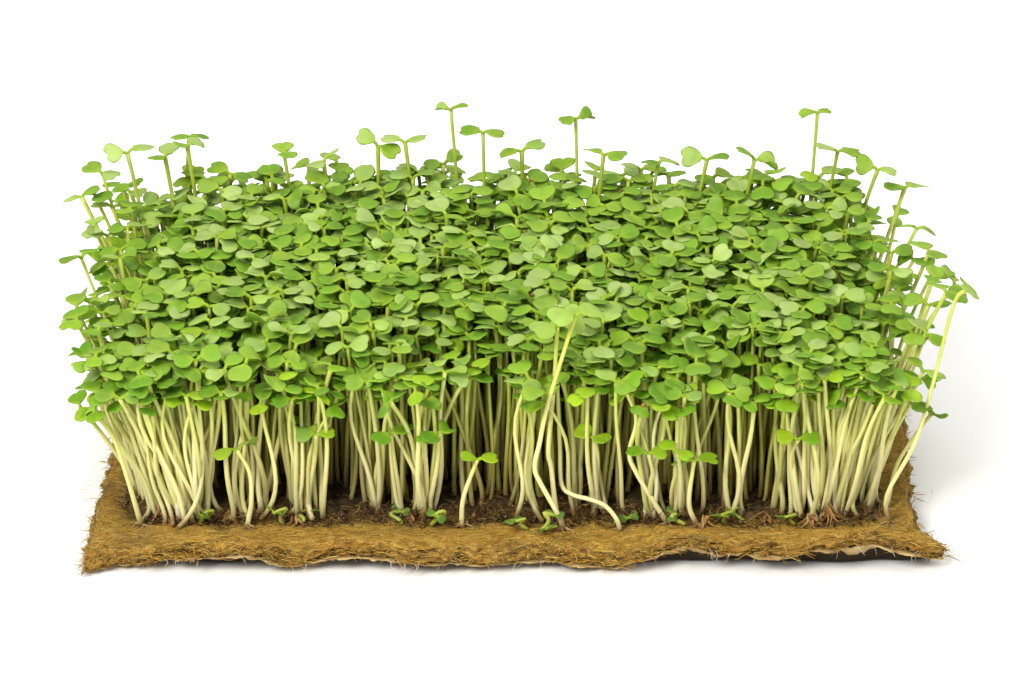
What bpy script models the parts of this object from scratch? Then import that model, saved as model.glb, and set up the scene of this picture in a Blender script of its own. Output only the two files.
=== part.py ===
"""Microgreens on a growing mat: a slab of torn fibre felt, a knitted layer of roots on it, and a dense stand of
cabbage-family seedlings (hypocotyl, two notched cotyledons each) that rise from it.

Run with: blender --background --python part.py      Units: metres, +Z up, +Y towards the back.
The design is laid out in millimetres about the middle of the mat, then moved so that the origin is
the middle of the whole object's footprint, on the surface that it stands on.

Nodes
  growing_mat            the felt slab, flat underneath, with a wavy lifted front edge and curled sides
  seedling_tuft_rRcC     a patch of seedlings whose roots knit into one pad: R counts from the front, C from the left
  *_seedling_*           seedlings that stand by themselves at the margins, each with its own little root ball
"""

import math
import random

import bmesh
import bpy
from mathutils import Vector
from mathutils.bvhtree import BVHTree

MM = 0.001

# ---- driving dimensions, in millimetres ----
MAT_W, MAT_D = 250.0, 127.0  # the mat's nominal cut size
MAT_T = 6.0  # felt thickness in the middle
STAND_X = (-112.0, 107.0)  # where the sown patch lies on the mat
STAND_Y = (-42.0, 57.0)
COLS, ROWS = 9, 4  # tufts across and deep
PAD_GAP = 0.7  # between neighbouring root pads
PAD_T = 1.8  # thickness of the knitted roots
SEAT = 0.3  # the roots' seat on the felt
STEM_W = 1.6  # hypocotyl thickness
LEAF_L, LEAF_W, LEAF_T = 10.4, 8.8, 0.6  # one cotyledon
CANOPY_FRONT, CANOPY_BACK = 58.0, 76.0  # height of the leaf layer above the surface
CLEAR = 0.4  # least air between two neighbours

# how far the mat's front edge stands off the surface: (x, lift)
FRONT_WAVE = (
    (-125, 0.2), (-113, 1.6), (-101, 3.5), (-86, 5.4), (-79, 5.8), (-63, 2.2), (-48, 4.8), (-24, 3.5),
    (-4, 2.5), (14, 3.2), (30, 1.3), (37, 4.1), (52, 8.4), (61, 5.2), (81, 5.4), (92, 8.3), (104, 8.9),
    (114, 6.7), (125, 3.6),
)
# how far the cut sides stand in from the nominal rectangle: (share of the depth, inset)
LEFT_INSET = ((0, 0.0), (0.08, 1.2), (0.2, 2.2), (0.35, 3.3), (0.5, 3.8), (0.7, 2.4), (1, 1.5))
RIGHT_INSET = ((0, 0.0), (0.06, 3.5), (0.12, 6.2), (0.25, 7.0), (0.4, 5.6), (0.6, 3.9), (0.8, 4.2), (1, 3.0))

GREEN, PALE = (0.13, 0.30, 0.05, 1), (0.52, 0.58, 0.30, 1)
FELT, ROOT = (0.24, 0.15, 0.06, 1), (0.30, 0.19, 0.08, 1)


def table(rows, x):
    """Smooth reading of a (position, value) table."""
    if x <= rows[0][0]:
        return rows[0][1]
    for (a, fa), (b, fb) in zip(rows, rows[1:]):
        if x <= b:
            t = (x - a) / (b - a)
            t = t * t * (3 - 2 * t)
            return fa + (fb - fa) * t
    return rows[-1][1]


def fade(distance, reach):
    """1 at an edge, 0 from reach inwards, smoothly."""
    t = min(1.0, max(0.0, distance / reach))
    return 1 - t * t * (3 - 2 * t)


def mat_plan(u, v):
    """The felt's plan position for shares u across and v deep."""
    left = -MAT_W / 2 + table(LEFT_INSET, v)
    right = MAT_W / 2 - table(RIGHT_INSET, v)
    x = left + (right - left) * u
    y = -MAT_D / 2 + MAT_D * v
    y += fade(v * MAT_D, 17) * (1.0 * math.sin(x * 0.11 + 1.0) + 0.6 * math.sin(x * 0.31))
    y += fade((1 - v) * MAT_D, 6) * (0.7 * math.sin(x * 0.13 + 2.0) - 0.4)
    return x, y


def mat_lift(u, v):
    """Height of the underside: nothing in the middle, the edge wave at the front and a curl at the sides."""
    x, _ = mat_plan(u, v)
    front = fade(v * MAT_D, 17.0) * table(FRONT_WAVE, x)
    in_from_front = 1 - fade(v * MAT_D, 30.0)
    left = fade(u * MAT_W, 11.0) * (2.4 + 1.0 * math.sin(v * 9)) * in_from_front
    right = fade((1 - u) * MAT_W, 11.0) * (3.0 + 1.2 * math.sin(v * 8 + 1)) * in_from_front
    return front + left + right


def mat_thickness(u, v):
    x, _ = mat_plan(u, v)
    edge = fade(min(v * MAT_D, (1 - v) * MAT_D * 3), 16) * (1.1 if x < 30 else 2.2)
    side = fade(min(u, 1 - u) * MAT_W, 10) * 1.6
    return MAT_T - max(edge, side)


def material(name, colour, roughness):
    made = bpy.data.materials.new(name)
    made.use_nodes = True
    shader = made.node_tree.nodes["Principled BSDF"]
    shader.inputs["Base Color"].default_value = colour
    shader.inputs["Roughness"].default_value = roughness
    shader.inputs["Metallic"].default_value = 0.0
    made.diffuse_color = colour
    return made


def finished(name, bm, mats, parent, crease=40):
    """The object of a bmesh laid out in millimetres."""
    bmesh.ops.recalc_face_normals(bm, faces=bm.faces)
    bmesh.ops.scale(bm, vec=(MM, MM, MM), verts=bm.verts)
    mesh = bpy.data.meshes.new(name)
    bm.to_mesh(mesh)
    bm.free()
    for m in mats:
        mesh.materials.append(m)
    mesh.shade_smooth()
    mesh.set_sharp_from_angle(angle=math.radians(crease))
    obj = bpy.data.objects.new(name, mesh)
    bpy.context.scene.collection.objects.link(obj)
    obj.parent = parent
    return obj


# ---- the felt ----


def build_mat(mats, parent):
    across = [0, 3.5, 7.5, 11.5] + [11.5 + i * (227 / 37) for i in range(1, 38)] + [242.5, 246.5, 250]
    deep = [0, 3.2, 7, 11.5, 17.5, 36, 60, 85, 108, 121, 124.5, 127]
    bm = bmesh.new()
    bmesh.ops.create_grid(bm, x_segments=len(across) - 1, y_segments=len(deep) - 1, size=1)
    place = {}
    for v in bm.verts:
        i = round((v.co.x + 1) / 2 * (len(across) - 1))
        j = round((v.co.y + 1) / 2 * (len(deep) - 1))
        place[v] = (across[i] / 250, deep[j] / 127)
    for vert, (u, v) in place.items():
        vert.co = (*mat_plan(u, v), mat_lift(u, v))
    grown = bmesh.ops.extrude_face_region(bm, geom=list(bm.faces))
    for vert in (g for g in grown["geom"] if isinstance(g, bmesh.types.BMVert)):
        under = min(place, key=lambda p: (p.co - vert.co).length_squared)
        u, v = place[under]
        x, y = mat_plan(u, v)
        # the torn edge leans in: the top skin is a little smaller than the underside
        x += 1.0 * (fade(u * 250, 3) - fade((1 - u) * 250, 3))
        y += 1.3 * fade(v * 127, 3) - 0.9 * fade((1 - v) * 127, 3)
        vert.co = (x, y, mat_lift(u, v) + mat_thickness(u, v))
    return finished("growing_mat", bm, mats, parent, crease=50)


# ---- seedlings ----


def frame_of(direction, along):
    """Two unit vectors square to `along`, the first as near `direction` as it can be."""
    a = (direction - along * direction.dot(along)).normalized()
    return a, along.cross(a).normalized()


def square(centre, a, b, wide, thick):
    return [
        centre + a * (wide / 2 * s) + b * (thick / 2 * t)
        for s, t in ((1, 1), (-1, 1), (-1, -1), (1, -1))
    ]


class Seedling:
    """One seedling, as rings of four points: the hypocotyl from its foot to the node, and two cotyledons."""

    def __init__(self, path, azimuth, size=1.0, tilt=(0.0, 0.0), droop=0.35, wide=STEM_W):
        self.path = [Vector(p) for p in path]
        facing = Vector((math.cos(azimuth), math.sin(azimuth), 0))
        self.stem = []
        n = len(self.path)
        for i, p in enumerate(self.path):
            before, after = self.path[max(0, i - 1)], self.path[min(n - 1, i + 1)]
            along = (after - before).normalized()
            if i == 0:
                along = Vector((0, 0, 1))
            a, b = frame_of(facing, along)
            w = wide * (1.12 if i == 0 else 1.0)
            self.stem.append(square(p, a, b, w, w))
        up = (self.path[-1] - self.path[-2]).normalized().lerp(Vector((0, 0, 1)), 0.7).normalized()
        a, b = frame_of(facing, up)
        node = self.path[-1]
        self.stem.append(square(node + up * 1.5, a, b, wide * 0.95, wide * 0.95))
        self.leaves = []
        for side, lift in zip((1, -1), tilt):
            out = (a * side * math.cos(lift) + up * math.sin(lift)).normalized()
            face_up = (up - out * up.dot(out)).normalized()
            rings = []
            for s, w, t in ((0.32, 0.34, 1.3), (0.66, 1.0, 1.0), (1.0, 0.6, 0.9)):
                reach = LEAF_L * size * s
                c = node + up * 0.75 + out * reach - face_up * (droop * 0.028 * reach * reach)
                across = face_up.cross(out).normalized()
                rings.append(square(c, across, face_up, LEAF_W * size * w, LEAF_T * t))
            base = square(node + up * 0.75, face_up.cross(out).normalized(), face_up, wide, 1.6)
            self.leaves.append((base, rings))

    def skin(self, grow):
        """Points and faces of the seedling's surface stood off by `grow`, for the clearance test."""
        points, faces = [], []

        def sleeve(rings):
            start = len(points)
            for k, ring in enumerate(rings):
                a, b = (ring[0] - ring[1]).normalized(), (ring[0] - ring[3]).normalized()
                ends = grow * ((k == len(rings) - 1) - (k == 0))
                on = a.cross(b) * ends
                if on.dot(sum(rings[-1], Vector()) - sum(rings[0], Vector())) * ends < 0:
                    on = -on
                for corner, (s, t) in zip(ring, ((1, 1), (-1, 1), (-1, -1), (1, -1))):
                    points.append(corner + a * (s * grow) + b * (t * grow) + on)
            for k in range(len(rings) - 1):
                for j in range(4):
                    m = (j + 1) % 4
                    o = start + 4 * k
                    faces.append((o + j, o + m, o + 4 + m, o + 4 + j))
            faces.append((start, start + 1, start + 2, start + 3))
            faces.append(tuple(range(len(points) - 4, len(points))))

        sleeve(self.stem)
        for base, rings in self.leaves:
            sleeve([base, *rings])
        return points, faces

    def tree(self, grow=CLEAR / 2):
        points, faces = self.skin(grow)
        return BVHTree.FromPolygons(points, faces)

    def grow(self, bm, face):
        """Draws the seedling out of a face of a closed body."""
        face = pull(bm, face, self.stem[0], keep=True)
        for ring in self.stem[1:]:
            face = pull(bm, face, ring)
        sides = {f for e in face.edges for f in e.link_faces if f != face}
        centre = face.calc_center_median()
        for _, rings in self.leaves:
            out = sum(rings[-1], Vector()) / 4 - centre
            side = max(sides, key=lambda f: (f.calc_center_median() - centre).dot(out))
            sides.discard(side)
            for ring in rings:
                side = pull(bm, side, ring)


def pull(bm, face, ring, keep=False):
    """Extrudes one face and moves its corners to a ring, without twisting. keep moves the face itself."""
    if not keep:
        face = bmesh.ops.extrude_discrete_faces(bm, faces=[face])["faces"][0]
    corners = list(face.verts)
    centre = sum((v.co for v in corners), Vector()) / 4
    middle = sum(ring, Vector()) / 4

    def twist(k):
        return sum(
            ((v.co - centre).normalized() - (ring[(i + k) % 4] - middle).normalized()).length_squared
            for i, v in enumerate(corners)
        )

    k = min(range(4), key=twist)
    for i, v in enumerate(corners):
        v.co = ring[(i + k) % 4]
    face.normal_update()
    return face


def pad(bm, outline_x, outline_y, low, high, columns, rows, wobble):
    """A pad of knitted roots: a grid lifted to its thickness. Returns the top faces, left to right and front to back."""
    bmesh.ops.create_grid(bm, x_segments=columns, y_segments=rows, size=1)
    for v in bm.verts:
        s, t = (v.co.x + 1) / 2, (v.co.y + 1) / 2
        dx, dy = wobble(s, t)
        v.co = (
            outline_x[0] + (outline_x[1] - outline_x[0]) * s + dx,
            outline_y[0] + (outline_y[1] - outline_y[0]) * t + dy,
            low,
        )
    grown = bmesh.ops.extrude_face_region(bm, geom=list(bm.faces))
    top = [g for g in grown["geom"] if isinstance(g, bmesh.types.BMFace)]
    for v in {v for f in top for v in f.verts}:
        v.co.z = high
    bmesh.ops.recalc_face_normals(bm, faces=bm.faces)
    return sorted(top, key=lambda f: (round(f.calc_center_median().y, 1), f.calc_center_median().x))


def rooted(bm, face, seedling):
    """Opens a stem's foot in a pad's top face and grows the seedling from it."""
    bmesh.ops.inset_individual(bm, faces=[face], thickness=min(e.calc_length() for e in face.edges) * 0.3)
    seedling.grow(bm, face)


def curve(points, pieces):
    """Points along a smooth curve through the given ones."""
    pts = [Vector(p) for p in points]
    pts = [2 * pts[0] - pts[1], *pts, 2 * pts[-1] - pts[-2]]
    found, spans = [], len(pts) - 3
    for k in range(pieces + 1):
        s = k / pieces * spans
        i = min(spans - 1, int(s))
        t = s - i
        p0, p1, p2, p3 = pts[i : i + 4]
        found.append(
            0.5 * (2 * p1 + (p2 - p0) * t + (2 * p0 - 5 * p1 + 4 * p2 - p3) * t * t
                   + (3 * p1 - 3 * p2 + p3 - p0) * t ** 3)
        )
    return found


# Seedlings that stand by themselves: name, the line that the stem follows from its foot (mm), leaf azimuth (deg), size
LONE = (
    ("tall_seedling_front_left_stem", ((13.2, -45.2, 0), (11.5, -45.6, 24), (10.6, -46.0, 31), (12.0, -46.8, 50), (13.0, -47.2, 71)), 205, 0.95),
    ("tall_seedling_front_right_stem", ((16.4, -50.2, 0), (8.4, -50.6, 22), (6.6, -51.0, 28), (8.0, -51.6, 36), (10.6, -52.2, 50), (18.0, -52.6, 77)), 20, 1.0),
    ("curved_seedling_front_right", ((45.5, -45.2, 0), (36.0, -46.2, 24), (34.2, -47.0, 31), (36.0, -47.6, 42), (31.5, -48.0, 54)), 160, 1.0),
    ("short_seedling_front_left", ((-78.0, -46.0, 0), (-76.4, -47.0, 14), (-76.6, -47.6, 24), (-80.0, -48.4, 32)), 200, 0.95),
    ("short_seedling_front_middle", ((-14.8, -47.0, 0), (-14.2, -48.0, 16), (-10.2, -49.0, 29)), 10, 0.8),
    ("short_seedling_front_right", ((53.4, -46.0, 0), (51.8, -47.0, 14), (53.0, -48.0, 28)), 185, 0.9),
    ("bent_seedling_front_left", ((-96.0, -47.0, 0), (-98.0, -47.4, 18), (-103.6, -48.4, 34), (-108.0, -49.4, 50)), 150, 1.0),
    ("leaning_seedling_left_front", ((-108.6, -48.6, 0), (-112.0, -49.6, 23), (-115.4, -50.8, 37), (-120.4, -52.0, 46)), 100, 0.95),
    ("leaning_seedling_left_middle", ((-115.8, -10.0, 0), (-117.6, -10.6, 22), (-122.6, -12.0, 44), (-128.6, -13.0, 60)), 60, 0.95),
    ("leaning_seedling_left_back", ((-115.6, 44.0, 0), (-117.0, 43.0, 26), (-120.6, 42.0, 52), (-127.6, 41.0, 73)), 300, 0.95),
    ("leaning_seedling_right_front", ((110.4, -45.0, 0), (110.0, -45.6, 16), (117.4, -44.4, 32), (121.8, -43.4, 50), (127.0, -42.0, 76), (131.0, -41.0, 80)), 75, 0.95),
    ("leaning_seedling_right_low", ((111.0, -38.0, 0), (113.0, -37.0, 20), (118.6, -35.0, 30), (123.0, -33.6, 36)), 110, 0.85),
    ("leaning_seedling_right_middle", ((110.8, 6.0, 0), (113.6, 5.0, 24), (119.4, 4.0, 48), (126.0, 3.0, 66)), 130, 1.0),
    ("tall_seedling_back_left", ((-101.0, 59.6, 0), (-100.0, 59.0, 30), (-101.4, 58.0, 62), (-99.6, 56.4, 86)), 35, 1.0),
    ("tall_seedling_back_centre", ((-16.0, 59.8, 0), (-17.6, 59.2, 34), (-17.0, 58.4, 66), (-18.8, 57.0, 95)), 170, 1.0),
    ("tall_seedling_back_middle", ((20.0, 59.8, 0), (21.0, 59.0, 34), (20.4, 58.0, 64), (19.6, 56.6, 92)), 15, 1.05),
    ("tall_seedling_back_right", ((90.0, 59.4, 0), (91.6, 58.8, 34), (92.8, 58.2, 64), (94.0, 57.0, 94)), 195, 1.0),
)


def build_lone(mats, parent, standing, felt):
    rng = random.Random(11)
    for name, line, degrees, size in LONE:
        x, y, _ = line[0]
        marks = [(x + i, y + j) for i in (-2, 0, 2) for j in (-2, 0, 2)]
        seat = max(felt.ray_cast(Vector((i, j, 100)), Vector((0, 0, -1)))[0].z for i, j in marks) + SEAT
        foot = seat + 1.5
        line = ((x, y, foot), *line[1:])
        steps = max(4, 2 * (len(line) - 1))
        for attempt in range(400):
            azimuth = math.radians(degrees) + rng.uniform(-1, 1) * 0.02 * attempt
            tilt = (rng.uniform(-0.1, 0.35), rng.uniform(-0.1, 0.35))
            one = Seedling(curve(line, steps), azimuth, size, tilt)
            tree = one.tree()
            if not any(tree.overlap(other) for _, other in standing):
                break
        else:
            raise ValueError(name + " finds no clear place")
        bm = bmesh.new()
        top = pad(bm, (x - 1.9, x + 1.9), (y - 1.9, y + 1.9), seat, foot, 1, 1, lambda s, t: (0, 0))
        rooted(bm, top[0], one)
        finished(name, bm, mats, parent)
        standing.append((Vector((x, y, 0)), tree))
        box_points = [
            (x + i * 2.2, y + j * 2.2, z) for z in (seat - 0.3, foot + 0.3) for i, j in ((-1, -1), (1, -1), (1, 1), (-1, 1))
        ]
        faces = [(0, 1, 2, 3), (4, 5, 6, 7), (0, 1, 5, 4), (1, 2, 6, 5), (2, 3, 7, 6), (3, 0, 4, 7)]
        standing.append((Vector((x, y, 0)), BVHTree.FromPolygons(box_points, faces)))


def build_tufts(mats, parent, standing):
    rng = random.Random(5)
    wide = (STAND_X[1] - STAND_X[0]) / COLS
    deep = (STAND_Y[1] - STAND_Y[0]) / ROWS
    low, high = MAT_T + SEAT, MAT_T + SEAT + PAD_T
    planned = []
    for r in range(ROWS):
        for c in range(COLS):
            x0, y0 = STAND_X[0] + c * wide, STAND_Y[0] + r * deep
            for q in range(4):
                planned.append((r, c, q, x0 + wide * (0.25 + 0.5 * (q % 2)), y0 + deep * (0.25 + 0.5 * (q // 2))))
    found = {}
    # the tall ones take their places first, and the low ones fill in below
    rank = {key[:3]: rng.random() for key in planned}
    for r, c, q, x, y in sorted(planned, key=lambda k: rank[k[:3]]):
        for attempt in range(260):
            fx, fy = x + rng.uniform(-2.4, 2.4), y + rng.uniform(-2.4, 2.4)
            back = (fy - STAND_Y[0]) / (STAND_Y[1] - STAND_Y[0])
            height = CANOPY_FRONT + (CANOPY_BACK - CANOPY_FRONT) * back ** 0.8
            height -= rng.choice((0, 3, 6, 9, 13)) + attempt * 0.04 * rng.random()
            left = fade(fx - STAND_X[0], 26)
            right = fade(STAND_X[1] - fx, 24)
            front = fade(fy - STAND_Y[0], 22)
            rear = fade(STAND_Y[1] - fy, 18)
            tx = fx - 9.5 * left + 10.5 * right + rng.uniform(-3.5, 3.5)
            ty = fy - 6.0 * front + 3.0 * rear + rng.uniform(-3.5, 3.5)
            bow = Vector((rng.uniform(-1.6, 1.6), rng.uniform(-1.6, 1.6), 0))
            foot, tip = Vector((fx, fy, high)), Vector((tx, ty, height))
            path = [foot]
            for s in (0.36, 0.7):
                # a stem leaves its foot upright and leans only higher up
                p = foot.lerp(tip, s)
                lean = s ** 1.6 / s
                path.append(Vector((foot.x + (p.x - foot.x) * lean, foot.y + (p.y - foot.y) * lean, p.z)) + bow * math.sin(math.pi * s))
            path.append(tip)
            one = Seedling(
                path, rng.uniform(0, 2 * math.pi), rng.uniform(0.82, 1.0),
                (rng.uniform(-0.15, 0.4), rng.uniform(-0.15, 0.4)), rng.uniform(0.2, 0.6),
            )
            tree = one.tree()
            near = (t for at, t in standing if (at - foot).xy.length < 55)
            if not any(tree.overlap(t) for t in near):
                found[r, c, q] = one
                standing.append((Vector((fx, fy, 0)), tree))
                break
    for r in range(ROWS):
        for c in range(COLS):
            x0, y0 = STAND_X[0] + c * wide, STAND_Y[0] + r * deep

            def wobble(s, t, r=r, c=c):
                """Pads are torn-edged, but keep to their own cell."""
                k = 0.9 * math.sin(12.9 * (s + c) + 7.2 * (t + r)) ** 2
                return (k * (0.5 - s), k * (0.5 - t))

            bm = bmesh.new()
            tops = pad(
                bm, (x0 + PAD_GAP / 2, x0 + wide - PAD_GAP / 2), (y0 + PAD_GAP / 2, y0 + deep - PAD_GAP / 2),
                low, high, 2, 2, wobble,
            )
            for q, top in enumerate(tops):
                if (r, c, q) in found:
                    rooted(bm, top, found[r, c, q])
            finished(f"seedling_tuft_r{r + 1}c{c + 1}", bm, mats, parent)
    return len(found)


def main():
    for obj in list(bpy.data.objects):
        bpy.data.objects.remove(obj)
    felt = material("mat_fibre", FELT, 0.95)
    green = material("seedling_green", GREEN, 0.5)
    pale = material("seedling_pale", PALE, 0.45)
    origin = bpy.data.objects.new("microgreens_origin", None)
    bpy.context.scene.collection.objects.link(origin)
    mat = build_mat([felt], origin)
    points = [Vector(v.co) / MM for v in mat.data.vertices]
    top = BVHTree.FromPolygons(points, [tuple(f.vertices) for f in mat.data.polygons])
    standing = []
    build_lone([pale], origin, standing, top)
    build_tufts([green], origin, standing)
    # the origin goes to the middle of the footprint, at the lowest point
    bpy.context.view_layer.update()
    corners = [Vector(v.co) for o in bpy.data.objects if o.type == "MESH" for v in o.data.vertices]
    low = Vector([min(p[i] for p in corners) for i in range(3)])
    high = Vector([max(p[i] for p in corners) for i in range(3)])
    shift = -(low + high) / 2
    origin.location = (shift.x, shift.y, -low.z)
    bpy.context.view_layer.update()


main()
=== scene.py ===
"""The looks of the microgreens on their growing mat: a dense stand of seedlings, the knit of roots at its foot, and the torn fibre felt."""

import math

import bpy
import numpy as np
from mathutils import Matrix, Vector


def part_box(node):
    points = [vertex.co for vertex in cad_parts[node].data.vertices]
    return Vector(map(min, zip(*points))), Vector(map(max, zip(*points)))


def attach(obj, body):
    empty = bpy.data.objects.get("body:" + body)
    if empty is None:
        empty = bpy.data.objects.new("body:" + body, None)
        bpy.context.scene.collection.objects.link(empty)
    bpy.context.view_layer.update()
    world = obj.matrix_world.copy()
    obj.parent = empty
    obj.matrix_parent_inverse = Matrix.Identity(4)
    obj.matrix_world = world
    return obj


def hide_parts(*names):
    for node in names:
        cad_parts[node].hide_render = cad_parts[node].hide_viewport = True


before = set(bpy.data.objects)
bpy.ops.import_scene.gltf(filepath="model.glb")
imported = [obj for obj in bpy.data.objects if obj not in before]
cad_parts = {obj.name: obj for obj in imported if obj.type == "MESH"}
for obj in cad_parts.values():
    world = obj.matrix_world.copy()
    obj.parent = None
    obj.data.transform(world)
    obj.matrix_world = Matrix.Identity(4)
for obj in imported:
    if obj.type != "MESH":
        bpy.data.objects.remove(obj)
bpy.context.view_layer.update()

MM = 0.001
PI = math.pi

# ------------------------------------------------------------------ the mat's own shape, as the CAD has it
MAT_W, MAT_D, MAT_T = 250.0, 127.0, 6.0
STAND_X, STAND_Y = (-112.0, 107.0), (-42.0, 57.0)
COLS, ROWS = 9, 4
FRONT_WAVE = (
    (-125, 0.2), (-113, 1.6), (-101, 3.5), (-86, 5.4), (-79, 5.8), (-63, 2.2), (-48, 4.8), (-24, 3.5),
    (-4, 2.5), (14, 3.2), (30, 1.3), (37, 4.1), (52, 8.4), (61, 5.2), (81, 5.4), (92, 8.3), (104, 8.9),
    (114, 6.7), (125, 3.6),
)
LEFT_INSET = ((0, 0.0), (0.08, 1.2), (0.2, 2.2), (0.35, 3.3), (0.5, 3.8), (0.7, 2.4), (1, 1.5))
RIGHT_INSET = ((0, 0.0), (0.06, 3.5), (0.12, 6.2), (0.25, 7.0), (0.4, 5.6), (0.6, 3.9), (0.8, 4.2), (1, 3.0))


def table(rows, x):
    xs = np.array([r[0] for r in rows], float)
    fs = np.array([r[1] for r in rows], float)
    x = np.clip(np.asarray(x, float), xs[0], xs[-1])
    i = np.clip(np.searchsorted(xs, x, side="right") - 1, 0, len(xs) - 2)
    t = (x - xs[i]) / (xs[i + 1] - xs[i])
    t = t * t * (3 - 2 * t)
    return fs[i] + (fs[i + 1] - fs[i]) * t


def fade(distance, reach):
    t = np.clip(np.asarray(distance, float) / reach, 0, 1)
    return 1 - t * t * (3 - 2 * t)


def mat_plan(u, v):
    left = -MAT_W / 2 + table(LEFT_INSET, v)
    right = MAT_W / 2 - table(RIGHT_INSET, v)
    x = left + (right - left) * u
    y = -MAT_D / 2 + MAT_D * v
    y = y + fade(v * MAT_D, 17) * (1.0 * np.sin(x * 0.11 + 1.0) + 0.6 * np.sin(x * 0.31))
    y = y + fade((1 - v) * MAT_D, 6) * (0.7 * np.sin(x * 0.13 + 2.0) - 0.4)
    return x, y


def mat_lift(u, v):
    x, _ = mat_plan(u, v)
    front = fade(v * MAT_D, 17.0) * table(FRONT_WAVE, x)
    in_from_front = 1 - fade(v * MAT_D, 30.0)
    left = fade(u * MAT_W, 11.0) * (2.4 + 1.0 * np.sin(v * 9)) * in_from_front
    right = fade((1 - u) * MAT_W, 11.0) * (3.0 + 1.2 * np.sin(v * 8 + 1)) * in_from_front
    return front + left + right


def mat_under(u, v):
    """The felt's underside: it curls down behind the front lip sooner than the top does."""
    x, _ = mat_plan(u, v)
    slack = fade(v * MAT_D, 17.0) - fade(v * MAT_D, 7.0)
    return np.maximum(mat_lift(u, v) - slack * table(FRONT_WAVE, x), 0.0)


def mat_thickness(u, v):
    x, _ = mat_plan(u, v)
    edge = fade(np.minimum(v * MAT_D, (1 - v) * MAT_D * 3), 16) * np.where(x < 30, 1.1, 2.2)
    side = fade(np.minimum(u, 1 - u) * MAT_W, 10) * 1.6
    return MAT_T - np.maximum(edge, side)


def mat_share(x, y):
    """The shares u, v of a plan position."""
    u, v = (x + MAT_W / 2) / MAT_W, (y + MAT_D / 2) / MAT_D
    for _ in range(8):
        px, py = mat_plan(u, v)
        u, v = u + (x - px) / MAT_W, v + (y - py) / MAT_D
    return np.clip(u, 0, 1), np.clip(v, 0, 1)


def mat_top(x, y):
    u, v = mat_share(x, y)
    return mat_lift(u, v) + mat_thickness(u, v)


# where the design's middle of the mat lies in the row frame
_u = np.concatenate([[0, 3.5, 7.5, 11.5], 11.5 + np.arange(1, 38) * 227 / 37, [242.5, 246.5, 250]]) / 250
_v = np.array([0, 3.2, 7, 11.5, 17.5, 36, 60, 85, 108, 121, 124.5, 127]) / 127
_x, _y = mat_plan(*np.meshgrid(_u, _v))
_low, _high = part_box("growing_mat")
OFFSET = np.array([_low.x / MM - _x.min(), _low.y / MM - _y.min(), 0.0])

# ------------------------------------------------------------------ noise and mesh helpers
LATTICE = np.random.default_rng(3).uniform(-1, 1, (256, 256))


def noise(x, y, scale, seed=0):
    """Smooth value noise, -1 to 1, with one feature per scale."""
    x = np.asarray(x, float) / scale + 17.31 * seed
    y = np.asarray(y, float) / scale + 9.17 * seed
    i, j = np.floor(x).astype(int), np.floor(y).astype(int)
    fx, fy = x - i, y - j
    fx, fy = fx * fx * (3 - 2 * fx), fy * fy * (3 - 2 * fy)
    i0, i1, j0, j1 = i & 255, (i + 1) & 255, j & 255, (j + 1) & 255
    a = LATTICE[i0, j0] * (1 - fx) + LATTICE[i1, j0] * fx
    b = LATTICE[i0, j1] * (1 - fx) + LATTICE[i1, j1] * fx
    return a * (1 - fy) + b * fy


def fractal(x, y, scale, octaves=3, seed=0):
    total, size, weight = 0, 0, 1.0
    for k in range(octaves):
        total = total + weight * noise(x, y, scale / 2**k, seed + 5 * k)
        size += weight
        weight *= 0.5
    return total / size


def unit(a):
    return a / np.maximum(np.linalg.norm(a, axis=-1, keepdims=True), 1e-12)


def mix(a, b, t):
    return a + (b - a) * t


def srgb(*c):
    """Linear colour of 0-255 display values."""
    c = np.array(c, float) / 255
    return np.where(c <= 0.04045, c / 12.92, ((c + 0.055) / 1.055) ** 2.4)


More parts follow.
